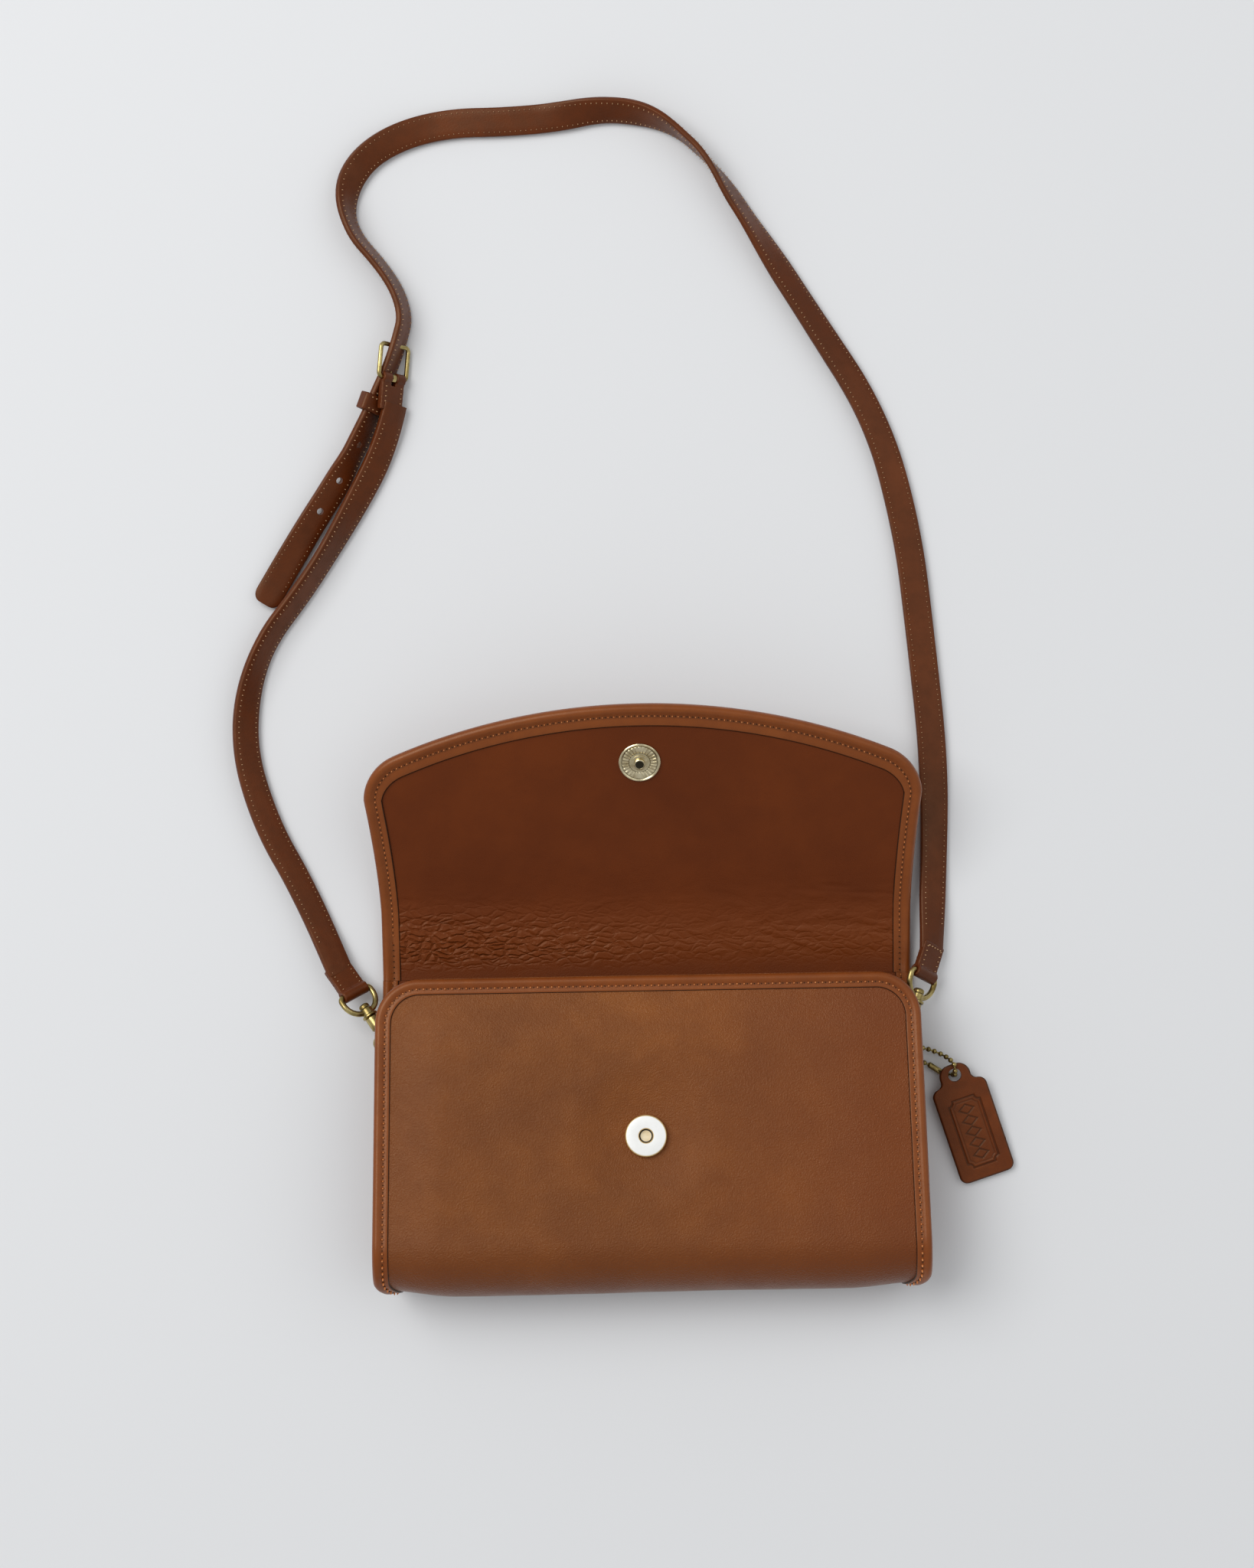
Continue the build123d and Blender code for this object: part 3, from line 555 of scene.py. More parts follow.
bindingLook = {
    "base": tone(122, 60, 20), "warm": tone(132, 68, 26), "dark": tone(104, 48, 16), "mottle": 0.3,
    "cloudScale": 26.0, "mottleScale": 140.0, "grainScale": 2200.0, "grain": 0.22, "grainDepth": 0.0002,
    "roughness": 0.34, "gloss": 0.42, "coat": 0.1,
}
strapLook = {
    "base": tone(82, 33, 8), "warm": tone(96, 42, 13), "dark": tone(66, 26, 6), "mottle": 0.35,
    "cloudScale": 22.0, "mottleScale": 160.0, "grainScale": 1900.0, "grain": 0.22, "grainDepth": 0.0002,
    "roughness": 0.36, "gloss": 0.42, "edge": tone(150, 104, 72),
}
tagLook = {
    "base": tone(96, 40, 10), "warm": tone(110, 50, 16), "dark": tone(72, 28, 7), "mottle": 0.35,
    "cloudScale": 60.0, "mottleScale": 160.0, "grainScale": 1900.0, "grain": 0.3, "grainDepth": 0.0002,
    "roughness": 0.4, "gloss": 0.42,
}
threadLook = {
    "base": tone(208, 128, 72), "warm": tone(222, 148, 92), "dark": tone(150, 84, 42), "mottle": 0.35,
    "cloudScale": 90.0, "mottleScale": 900.0, "grainScale": 5000.0, "grain": 0.3, "grainDepth": 0.0001,
    "roughness": 0.6,
}
strapThreadLook = dict(
    threadLook, base=tone(190, 150, 110), warm=tone(206, 170, 130), dark=tone(140, 100, 66))
# dark thread for the strip's stitches, and dark capsules for painted shade in the stitch holes
darkThreadAndHoleShadeLook = dict(threadLook, base=tone(48, 24, 12), warm=tone(58, 30, 15), dark=tone(30, 15, 8))
brassLook = {
    "base": tone(196, 178, 120), "dark": tone(120, 102, 56), "stainScale": 180.0, "roughness": 0.22,
    "edge": tone(60, 56, 44),
}
agedBrassLook = dict(brassLook, base=tone(164, 146, 92), dark=tone(92, 78, 42))
snapBrassLook = dict(brassLook, base=tone(232, 220, 184), dark=tone(170, 152, 108), roughness=0.2)
paleLook = {
    "base": tone(246, 232, 200), "dark": tone(226, 206, 164), "stainScale": 300.0, "roughness": 0.35,
    "metallic": 0.2,
}
steelLook = {
    "base": tone(250, 250, 247), "dark": tone(240, 240, 236), "stainScale": 120.0, "roughness": 0.3,
    "metallic": 0.3, "edge": tone(206, 172, 100),
}
# the magnet's own dark colour, also used on the socket's base as painted shade in the ring round the core
ferriteAndRecessShadeLook = {
    "base": tone(52, 50, 48), "dark": tone(36, 34, 32), "stainScale": 200.0, "roughness": 0.5, "metallic": 0.0,
}

frontLeather = leather("frontLeather", frontLook)
liningLeather = leather("liningLeather", liningLook)
bindingLeather = leather("bindingLeather", bindingLook)
strapLeather = leather("strapLeather", strapLook)
tagLeather = leather("tagLeather", tagLook)
stitchThread = leather("stitchThread", threadLook)
strapThread = leather("strapThread", strapThreadLook)
darkThreadAndHoleShade = leather("darkThreadAndHoleShade", darkThreadAndHoleShadeLook)
antiqueBrass = metal("antiqueBrass", brassLook)
brightSteel = metal("brightSteel", steelLook)
paleBrass = metal("paleBrass", paleLook)
snapBrass = metal("snapBrass", snapBrassLook)
agedBrass = metal("agedBrass", agedBrassLook)
ferriteAndRecessShade = metal("ferriteAndRecessShade", ferriteAndRecessShadeLook)
print("stage: materials")

# strap
strap = {
    "width": 12.7 * mm, "thickness": 2.6 * mm, "corner": 0.7 * mm, "step": 2.0 * mm,
    "clear": 0.1 * mm, "endEase": 0.03, "stitch": (1.5 * mm, 0.45 * mm, 0.36 * mm),
    "stitchIn": 1.9 * mm, "stitchPitch": 2.3 * mm, "stitchLift": 0.05 * mm,
    "longRoute": [
        (125.84, 75.5, 5.8), (128, 115, 5.8), (129, 160, 5.8), (124, 214, 5.8), (119, 262, 5.8),
        (106, 312, 5.8), (77, 358, 5.8), (52, 398, 5.8), (28, 436, 5.8), (-2, 452, 5.8),
        (-45, 446, 5.8), (-92, 446, 5.8), (-124, 429, 5.8), (-129, 402, 5.8), (-108, 378, 5.8),
        (-101.5, 361, 5.8), (-104.5, 349.5, 5.8), (-108.5, 338, 5.8), (-113.6, 327, 5.8),
        (-118, 315.5, 5.8), (-130, 292, 5.8), (-150, 262, 5.8), (-167, 234, 5.8),
    ],
    "shortRoute": [
        (-107, 321, 5.8), (-111, 304, 5.8), (-127, 274, 5.8), (-146, 243, 5.8), (-170, 213, 5.8),
        (-178, 175, 5.8), (-168, 137, 5.8), (-150, 105, 5.8), (-135.53, 70.5, 5.8),
    ],
    # lean of the right-hand edge, in degrees, at distances along the strap
    "longLean": [
        (0.0, -38), (0.03, -24), (0.08, -10), (0.19, -8), (0.25, -22), (0.31, -34), (0.35, -58),
        (0.385, -90), (0.42, -132), (0.46, -170), (0.5, -174), (0.54, -150), (0.57, -110), (0.64, -108),
        (0.68, -124), (0.7, -150), (0.759, -172),
    ],
    "shortLean": [(0.0, 46), (0.03, 40), (0.08, 58), (0.12, 55), (0.16, 40), (0.2, 34), (0.277, 37)],
    "holes": [(-123.4, 302.7), (-132.4, 288.6), (-141.5, 274.5)], "hole": 1.5 * mm, "tailRound": 5.0 * mm,
    "longStart": 7.3 * mm, "shortFar": 7.0 * mm, "shortStart": 7.6 * mm,
}


def bandSection(width, thickness, corner):
    half = width / 2
    deep = thickness / 2
    section = []
    for cx, cy, first in ((half, deep, 0), (-half, deep, 90), (-half, -deep, 180), (half, -deep, 270)):
        inX = cx - math.copysign(corner, cx)
        inY = cy - math.copysign(corner, cy)
        for turn in (0, 45, 90):
            angle = math.radians(first + turn)
            section.append((inX + corner * math.cos(angle), inY + corner * math.sin(angle)))
        if first in (0, 180):  # the flat faces have points between the corners
            section += [(inX * (1 - 2 * share), cy) for share in (0.3, 0.5, 0.7)]
    return section


def bandAlong(name, route, leans, startLevel, endLevel, rounded):
    line = smoothLine([Vector(point) * mm for point in route])
    total = distances(line)[-1]
    count = round(total / strap["step"])
    at = [total * index / count for index in range(count - 2)]
    at += [total - strap["tailRound"] * share for share in (1.0, 0.8, 0.6, 0.45, 0.32, 0.2, 0.1, 0.04, 0.0)]
    spots = alongLine(line, at)
    ways = headings(spots)
    sides = []
    ups = []
    for index, (spot, way) in enumerate(zip(spots, ways)):
        lean = math.radians(keyed(leans, at[index]))
        right = Vector((way.y, -way.x, 0)).normalized()
        sides.append(right * math.cos(lean) + Vector((0, 0, 1)) * math.sin(lean))
        ups.append(sides[-1].cross(way).normalized())
        # half the height of the leaning band, with the ends held up by their hardware
        level = strap["width"] / 2 * abs(math.sin(lean)) + strap["thickness"] / 2 * abs(math.cos(lean))
        level += strap["clear"]
        level = between(max(startLevel, level), level, eased(at[index], 0, strap["endEase"]))
        spot.z = between(level, max(endLevel, level), eased(at[index], total - strap["endEase"], total))
    sections = []
    for distance in at:
        short = max(strap["tailRound"] - (total - distance), 0) / strap["tailRound"] if rounded else 0
        width = strap["width"] * (0.4 + 0.6 * math.sqrt(max(1 - short * short, 0)))
        sections.append(bandSection(width, strap["thickness"], strap["corner"]))
    band = sweptSection(name, spots, sides, ups, sections)
    print("stage:", name, "length", round(total, 4))
    return band, spots, ways, sides, ups, total


def bandStitches(name, spots, ways, sides, ups, first, last):
    shape = stitchShape(*strap["stitch"])
    count = int((last - first) / strap["stitchPitch"])
    places = []
    for index, share in stretches(spots, [first + number * strap["stitchPitch"] for number in range(count)]):
        spot, side, up = [blended(items, index, share) for items in (spots, sides, ups)]
        for edge in (-1, 1):
            across = side * edge * (strap["width"] / 2 - strap["stitchIn"])
            for face in (-1, 1):
                place = spot + across + up * face * (strap["thickness"] / 2 + strap["stitchLift"])
                places.append(frameAt(place, ways[index], up * face))
    stitches = copiesOf(name, shape, places)
    bpy.data.objects.remove(shape)
    return dressed(stitches, strapThread, "strap_leather")


longBand, longSpots, longWays, longSides, longUps, longLength = bandAlong(
    "strapLong", strap["longRoute"], strap["longLean"], strap["longStart"], 0, True)
for x, y in strap["holes"]:
    near = min(range(len(longSpots)), key=lambda index: (longSpots[index].xy - Vector((x, y)) * mm).length)
    pickNothing()
    bpy.ops.mesh.primitive_cylinder_add(vertices=32, radius=strap["hole"], depth=8 * mm)
    punch = bpy.context.object
    placed(punch, frameAt(longSpots[near], longWays[near], longUps[near]))
    cut = longBand.modifiers.new("hole", "BOOLEAN")
    cut.object = punch
    cut.solver = "EXACT"
    applyAll(longBand)
    bpy.data.objects.remove(punch)
smoothed(longBand, 50)
dressed(longBand, strapLeather, "strap_leather")
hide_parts("strap_long", "strap_tail")
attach(longBand, "bag")
longStitches = bandStitches(
    "strapLongStitches", longSpots, longWays, longSides, longUps, 12 * mm, longLength - 6 * mm)
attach(longStitches, "bag")

shortBand, shortSpots, shortWays, shortSides, shortUps, shortLength = bandAlong(
    "strapShort", strap["shortRoute"], strap["shortLean"], strap["shortFar"], strap["shortStart"], False)
dressed(shortBand, strapLeather, "strap_leather")
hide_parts("strap_short")
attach(shortBand, "bag")
shortStitches = bandStitches(
    "strapShortStitches", shortSpots, shortWays, shortSides, shortUps, 10 * mm, shortLength - 12 * mm)
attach(shortStitches, "bag")

print("stage: strap")

# front of the bag
bag = {
    "length": 136 * mm, "widthTop": 237 * mm, "widthBottom": 242 * mm, "topZ": 26 * mm,
    "tilt": math.radians(7.953),
    "plane": 114.3 * mm, "bend": 20 * mm, "seamZ": 16 * mm, "topCorner": 19.5 * mm, "bottomCorner": 6 * mm,
    "leather": 2.0 * mm, "under": 1.0 * mm, "columns": 210, "rows": 150,
    "swell": 2.5 * mm, "wave": 0.3 * mm, "snapX": -1.8 * mm, "snapS": 69.5 * mm,
}
bendTurn = math.pi / 2 + bag["tilt"]
wallStart = bag["plane"] + bag["bend"] * bendTurn
planeEndY = bag["length"] / 2 - bag["plane"] * math.cos(bag["tilt"])
planeEndZ = bag["topZ"] + bag["plane"] * math.sin(bag["tilt"])
bendY = planeEndY - bag["bend"] * math.sin(bag["tilt"])
bendZ = planeEndZ - bag["bend"] * math.cos(bag["tilt"])
frontRun = wallStart + bendZ - bag["seamZ"]


def frontProfile(s):
    # place and outward direction on the front's side view, s from the top edge down and round to the seam
    if s <= bag["plane"]:
        y = bag["length"] / 2 - s * math.cos(bag["tilt"])
        z = bag["topZ"] + s * math.sin(bag["tilt"])
        return y, z, math.sin(bag["tilt"]), math.cos(bag["tilt"])
    if s <= wallStart:
        angle = -bag["tilt"] + (s - bag["plane"]) / bag["bend"]
        outY, outZ = -math.sin(angle), math.cos(angle)
        return bendY + bag["bend"] * outY, bendZ + bag["bend"] * outZ, outY, outZ
    return bendY - bag["bend"], bendZ - (s - wallStart), -1.0, 0.0


def bagHalf(y):
    half = between(bag["widthTop"], bag["widthBottom"], (bag["length"] / 2 - y) / bag["length"]) / 2
    fromTop = bag["length"] / 2 - y
    fromBottom = y + bag["length"] / 2
    for gap, corner in ((fromTop, bag["topCorner"]), (fromBottom, bag["bottomCorner"])):
        if gap < corner:
            half = rounding(half, corner, corner - max(gap, 0))
    return half


def frontSpot(x, s, lift):
    y, z, outY, outZ = frontProfile(s)
    return Vector((x, y + outY * lift, z + outZ * lift))


def frontSwell(x, s, half):
    # the leather stands up a little between its bound edges and waves a little
    inside = eased(half - abs(x), 2 * mm, 30 * mm) * eased(s, 2 * mm, 30 * mm)
    inside *= 1.15 - 0.3 * eased(x, -60 * mm, 60 * mm)
    wave = noise.noise(Vector((x * 22, s * 22, 3.1))) + 0.5 * noise.noise(Vector((x * 60, s * 60, 8.2)))
    snapAway = math.hypot(x - bag["snapX"], s - bag["snapS"])
    return inside * bag["swell"] * eased(snapAway, 7 * mm, 34 * mm) + wave * bag["wave"] * inside


def frontPlace(u, v):
    v = 1 - v  # the rows run up from the seam, so that the face looks out
    s = frontRun * (0.35 * v * v + 0.65 * v)
    y = frontProfile(s)[0]
    half = bagHalf(y) - bag["under"]
    x = (2 * u - 1) * half
    return frontSpot(x, s, frontSwell(x, s, half))


frontSheet = shapedGrid("frontPanel", bag["columns"], bag["rows"], frontPlace)
thickened(frontSheet, bag["leather"])
smoothed(frontSheet, 50)
dressed(frontSheet, frontLeather, "front_leather")
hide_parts("front_panel")
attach(frontSheet, "bag")

# bindings
binding = {
    # across from the outer edge, and height over the leather; a third number darkens the point: the dark cut
    # edge on the inside, and painted shade in the stitch groove
    "section": [
        (0.0, -0.8), (0.2, 0.2), (0.8, 1.0), (1.8, 1.5), (2.9, 1.35), (3.7, 0.85), (4.3, 0.5, 0.25),
        (5.0, 0.6), (5.8, 0.85), (6.55, 0.8), (6.75, 0.7, 0.9), (7.0, 0.3, 1.0), (7.0, -0.2, 1.0),
        (6.9, -2.2), (6.5, -2.9), (3.6, -3.1), (1.2, -3.0), (0.2, -2.1),
    ],
    "ridge": 3.4, "inner": 11, "frontWidth": 7.0, "outer": 0.9, "outerBelow": -2.5, "spotStep": 1.6 * mm,
    "frontPitch": 3.1 * mm, "flapPitch": 2.5 * mm, "slant": math.radians(12), "start": 4 * mm,
}
# each row's place across and over the leather, and its stitch's length, width and height, in millimetres
# the rows of holes are dark capsules between the stitches, painted shade in the stitch holes
rowShapes = {
    "frontStitches": ((4.5, 0.66), (2.5, 0.85, 0.75)), "frontHoleShade": ((4.5, 0.54), (1.0, 0.8, 0.35)),
    "flapStitches": ((5.0, 0.6), (1.5, 0.55, 0.5)), "flapHoleShade": ((5.0, 0.56), (0.9, 0.8, 0.4)),
    "flapOuterStitches": ((4.6, -3.98), (1.6, 0.6, 0.6)), "stripStitches": ((5.0, 0.6), (1.5, 0.7, 0.5)),
    "backStitches": ((4.6, 0.58), (1.5, 0.55, 0.5)), "backHoleShade": ((4.6, 0.58), (0.9, 0.8, 0.4)),
}


def widened(section, width):
    # the flat part of the binding made as wide as asked, its ridge left alone
    ridge = binding["ridge"]
    stretch = (width - ridge) / (binding["section"][binding["inner"]][0] - ridge)
    return [
        ((x if x < ridge else ridge + (x - ridge) * stretch) * mm, z * mm, *edge)
        for x, z, *edge in section
    ]


def frontEdge():
    # the front's outline from the left seam over the top to the right seam, as x and s
    right = []
    s = frontRun
    corner = bag["topCorner"]
    while s > corner / math.cos(bag["tilt"]):
        right.append((bagHalf(frontProfile(s)[0]), s))
        s -= binding["spotStep"]
    cx = bagHalf(bag["length"] / 2 - corner) - corner
    for step in range(25):
        angle = math.radians(90 * step / 24)
        fromTop = corner - corner * math.sin(angle)
        right.append((cx + corner * math.cos(angle), fromTop / math.cos(bag["tilt"])))
    right += [(cx * (1 - step / 50), 0.0) for step in range(1, 51)]
    return right + [(-x, s) for x, s in reversed(right[:-1])]


def edgeFrames(outline, spotAt, upAt, centre):
    spots = [spotAt(x, s) for x, s in outline]
    ups = [upAt(x, s) for x, s in outline]
    ways = headings(spots)
    sides = []
    for spot, way, up in zip(spots, ways, ups):
        side = up.cross(way).normalized()
        if side.dot(centre - spot) < 0:
            side = -side
        sides.append(side)
    return spots, ways, sides, ups


def frontUp(x, s):
    y, z, outY, outZ = frontProfile(s)
    return Vector((0, outY, outZ))


frontOutline = frontEdge()
edgeSpots, edgeWays, edgeSides, edgeUps = edgeFrames(
    frontOutline, lambda x, s: frontSpot(x, s, 0), frontUp, Vector((0, 0, 30 * mm)))
frontBinding = sweptSection(
    "frontBinding", edgeSpots, edgeSides, edgeUps, widened(binding["section"], binding["frontWidth"]))
dressed(frontBinding, bindingLeather, "binding_leather")
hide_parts("front_binding")
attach(frontBinding, "bag")


def edgeStitches(name, row, edge, pitch, material, start):
    # a row of slanting stitches along an edge, given as its spots, sides and ups
    (inset, lift), size = rowShapes[row]
    shape = stitchShape(*[value * mm for value in size])
    spots, sides, ups = edge
    line = [spot + side * inset * mm + up * lift * mm for spot, side, up in zip(spots, sides, ups)]
    end = distances(line)[-1] - start
    at = [start]
    while at[-1] + pitch < end:
        at.append(at[-1] + pitch)
    places = []
    for index, share in stretches(line, at):
        way = (line[index + 1] - line[index]).normalized()
        up = blended(ups, index, share)
        places.append(frameAt(blended(line, index, share), Matrix.Rotation(binding["slant"], 3, up) @ way, up))
    stitches = copiesOf(name, shape, places)
    bpy.data.objects.remove(shape)
    return dressed(stitches, material, "binding_leather")


frontRowEdge = (edgeSpots, edgeSides, edgeUps)
frontPitch = binding["frontPitch"]
frontStitches = edgeStitches(
    "frontStitches", "frontStitches", frontRowEdge, frontPitch, stitchThread, binding["start"])
# dark capsules between the stitches, painted shade in the stitch holes
frontHoleShade = edgeStitches(
    "frontHoleShade", "frontHoleShade", frontRowEdge, frontPitch, darkThreadAndHoleShade, binding["start"] + frontPitch / 2)
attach(frontStitches, "bag")
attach(frontHoleShade, "bag")
print("stage: front and its binding")

# flap
flap = {
    "foldY": 70.5 * mm, "foldZ": 3.2 * mm, "strip": 26.591 * mm, "stripSlope": math.radians(8),
    "slope": math.radians(26.5), "halfFold": 117.0 * mm, "halfCorner": 123.2 * mm, "skew": 1.0 * mm,
    "hollow": 1.0 * mm, "reach": 98.4 * mm, "crownRadius": 260 * mm, "corner": 24 * mm, "sideTop": 54.5 * mm,
    "start": -4.4 * mm, "meet": 13.3 * mm, "lining": 1.2 * mm, "leather": 2.0 * mm, "sideBinding": 8.0,
    "crownBinding": 10.0, "widening": (50 * mm, 78 * mm), "inset": 1 * mm, "lead": 6 * mm, "step": 0.5 * mm,
    "spots": 290, "bendEase": 18 * mm, "sidePast": 14 * mm, "columns": 230, "rows": 130, "stripRows": 20,
    "rowStart": 1 * mm, "blendPast": 3 * mm,
}


def flapLine():
    # side view of the open flap, as place and slope at each step from a little before the fold
    line = []
    y = flap["foldY"] - flap["lead"]
    z = flap["foldZ"]
    step = flap["step"]
    for index in range(flap["spots"]):
        along = index * step - flap["lead"]
        slope = flap["stripSlope"] * eased(along, -flap["lead"], flap["lead"])
        bent = eased(along, flap["strip"] - flap["bendEase"], flap["strip"] + flap["bendEase"])
        slope += (flap["slope"] - flap["stripSlope"]) * bent
        line.append((y, z, slope))
        y += step * math.cos(slope)
        z += step * math.sin(slope)
    return line


flapShape = flapLine()


def flapSpot(x, along, lift):
    exact = (along + flap["lead"]) / flap["step"]
    index = min(max(int(exact), 0), len(flapShape) - 2)
    share = exact - index
    y, z, slope = [between(a, b, share) for a, b in zip(flapShape[index], flapShape[index + 1])]
    x -= flap["skew"] * eased(along, flap["strip"], flap["strip"] + flap["reach"])
    return Vector((x, y - math.sin(slope) * lift, z + math.cos(slope) * lift))


def flapUp(x, along):
    return (flapSpot(x, along, 0.001) - flapSpot(x, along, 0)).normalized()


def flapHalf(along):
    sideRun = flap["sideTop"] + flap["sidePast"]
    share = min(max((along - flap["strip"]) / sideRun, 0), flap["sideTop"] / sideRun)
    return between(flap["halfFold"], flap["halfCorner"], share) - 4 * flap["hollow"] * share * (1 - share)


cornerHalf = flapHalf(flap["strip"] + flap["sideTop"])
crownX = cornerHalf - flap["corner"]
crownBack = flap["reach"] - flap["crownRadius"]
crownY = crownBack + math.sqrt((flap["crownRadius"] - flap["corner"]) ** 2 - crownX ** 2)
meetX = crownX * flap["crownRadius"] / (flap["crownRadius"] - flap["corner"])


def flapTop(x):
    if abs(x) <= meetX:
        return crownBack + math.sqrt(flap["crownRadius"] ** 2 - x ** 2)
    across = min(abs(x) - crownX, flap["corner"])
    return crownY + math.sqrt(max(flap["corner"] ** 2 - across ** 2, 0))


def creases(x, along):
    # soft folds in the lining near the fold line, deepest towards the sides
    near = eased(along, 3 * mm, 10 * mm) * (1 - eased(along, 20 * mm, 46 * mm))
    sides = 0.45 + 0.55 * eased(abs(x + 0.02), 30 * mm, 95 * mm)
    spot = Vector((x * 70, along * 210, 1.7))
    warp = Vector((noise.noise(spot * 0.4) * 1.4, noise.noise(spot * 0.4 + Vector((5, 2, 9))) * 1.4, 0))
    ridge = 1 - abs(noise.noise(spot + warp)) * 2
    fine = noise.noise(Vector((x * 420, along * 420, 4.0)))
    broad = noise.noise(Vector((x * 15, along * 15, 0.6)))
    return near * sides * (ridge * 0.42 + fine * 0.1) * mm + broad * 0.3 * mm


def flapSheet(name, low, high, lift, thickness, flipped):
    # one layer of the flap between two lines along it
    def place(u, v):
        if flipped:
            u = 1 - u
        side = 2 * u - 1
        topmost = high if high else flap["strip"] + flapTop(side * cornerHalf) - flap["inset"]
        along = between(low, topmost, v)
        x = side * (flapHalf(along) - flap["inset"])
        rise = creases(x, along) if lift == 0 else 0
        return flapSpot(x, along, lift + rise)
    piece = shapedGrid(name, flap["columns"], flap["stripRows"] if high else flap["rows"], place)
    thickened(piece, thickness)
    smoothed(piece, 50)
    return piece


upperPieces = []
lowerPieces = []
for part, low, high, pieces in (
    ("flap", flap["meet"], None, upperPieces), ("strip", flap["start"], flap["meet"], lowerPieces),
):
    inner = flapSheet(part + "Lining", low, high, 0, flap["lining"], False)
    dressed(inner, liningLeather, "lining_leather")
    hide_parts(part + "_lining")
    outer = flapSheet(part + "Leather", low, high, -flap["lining"] - flap["leather"], flap["leather"], True)
    dressed(outer, frontLeather, "front_leather")
    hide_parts(part + "_leather")
    pieces += [inner, outer]

sideOutline = []
along = flap["meet"]
while along < flap["strip"] + crownY:
    sideOutline.append((flapHalf(along), along))
    along += binding["spotStep"]
cornerStart = math.acos((meetX - crownX) / flap["corner"])
for step in range(1, 22):
    angle = cornerStart * step / 22
    across = crownX + flap["corner"] * math.cos(angle)
    sideOutline.append((across, flap["strip"] + crownY + flap["corner"] * math.sin(angle)))
for step in range(0, 51):
    x = meetX * (1 - step / 50)
    sideOutline.append((x, flap["strip"] + flapTop(x)))
flapOutline = sideOutline + [(-x, along) for x, along in reversed(sideOutline[:-1])]
flapSpots, flapWays, flapSides, flapUps = edgeFrames(
    flapOutline, lambda x, along: flapSpot(x, along, 0), flapUp, flapSpot(0, 60 * mm, 0))
wideFrom, wideTo = flap["widening"]
flapWidths = [
    between(flap["sideBinding"], flap["crownBinding"], eased(spotAlong - flap["strip"], wideFrom, wideTo))
    for x, spotAlong in flapOutline
]
# the binding also stands proud of the flap's outer face
flapSection = [
    (x, z - binding["outer"] if z < binding["outerBelow"] else z, *edge) for x, z, *edge in binding["section"]
]
flapBinding = sweptSection(
    "flapBinding", flapSpots, flapSides, flapUps, [widened(flapSection, width) for width in flapWidths])
dressed(flapBinding, bindingLeather, "binding_leather")
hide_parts("flap_binding")
upperPieces.append(flapBinding)
flapPitch = binding["flapPitch"]
for row, thread, start in (
    ("flapStitches", stitchThread, 0), ("flapHoleShade", darkThreadAndHoleShade, flapPitch / 2),
    ("flapOuterStitches", stitchThread, 0),
):
    upperPieces.append(edgeStitches(
        row, row, (flapSpots, flapSides, flapUps), flapPitch, thread, flap["rowStart"] + start))

for side, word in ((1, "right"), (-1, "left")):
    rows = [between(flap["start"], flap["meet"], step / 18) for step in range(19)]
    outline = [(side * flapHalf(along), along) for along in rows]
    spots, ways, sides, ups = edgeFrames(
        outline, lambda x, along: flapSpot(x, along, 0), flapUp, flapSpot(0, 7 * mm, 0))
    piece = sweptSection(
        "stripBinding_" + word, spots, sides, ups, widened(binding["section"], flap["sideBinding"]))
    dressed(piece, bindingLeather, "binding_leather")
    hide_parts("strip_binding_" + word)
    row = edgeStitches(
        "stripStitches_" + word, "stripStitches", (spots, sides, ups), flapPitch, darkThreadAndHoleShade, flap["rowStart"])
    lowerPieces += [piece, row]

upperStart = flapSpot(0, flap["meet"] + flap["blendPast"], 0)
upperEnd = flapSpot(0, 2 * flap["strip"] - flap["meet"] - flap["blendPast"], 0)
for piece in upperPieces:
    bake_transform(piece)
for piece in lowerPieces:
    tuple(flapSpot(0, 6 * mm, 0))
    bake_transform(piece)
print("stage: flap")

# magnetic snap
snap = {
    "stud": (-1.8, 160.776, 38.782), "studSlope": 26.5,
    "case": [
        (3.0, 0.3), (3.0, 2.7, 1.0), (3.25, 3.0, 0.9), (3.5, 3.02), (8.3, 3.05), (8.6, 3.0, 0.7),
        (8.85, 2.8, 1.0), (9.0, 2.4, 1.0), (9.0, 0.15, 1.0), (8.8, 0.0, 1.0), (3.2, 0.0), (3.0, 0.3),
    ],
    "plate": [
        (0.0, 0.6), (4.3, 0.6), (4.6, 0.5, 0.7), (4.9, 0.62), (7.4, 0.64), (7.7, 0.55, 0.8),
        (8.0, 0.72), (8.3, 0.92), (8.7, 0.88), (9.0, 0.6), (9.0, 0.12), (8.9, 0.02), (0.0, 0.02),
    ],
    "post": [
        (0.0, 2.72, 1.0), (1.7, 2.72, 1.0), (1.85, 2.86, 0.5), (2.15, 2.84), (2.4, 2.6), (2.45, 2.2),
        (2.45, 1.1), (2.8, 1.04), (3.4, 1.0), (3.55, 0.9), (3.55, 0.6), (0.0, 0.6),
    ],
    "ticks": 28, "tickHigh": 0.2, "tickFrom": 4.8, "tickTo": 7.5, "segments": 168,
}


def tickPattern(radius, angle):
    # plain raised bars round the plate's face
    bar = eased(math.cos(snap["ticks"] * angle), 0.1, 0.6)
    return snap["tickHigh"] * bar if snap["tickFrom"] < radius < snap["tickTo"] else 0.0


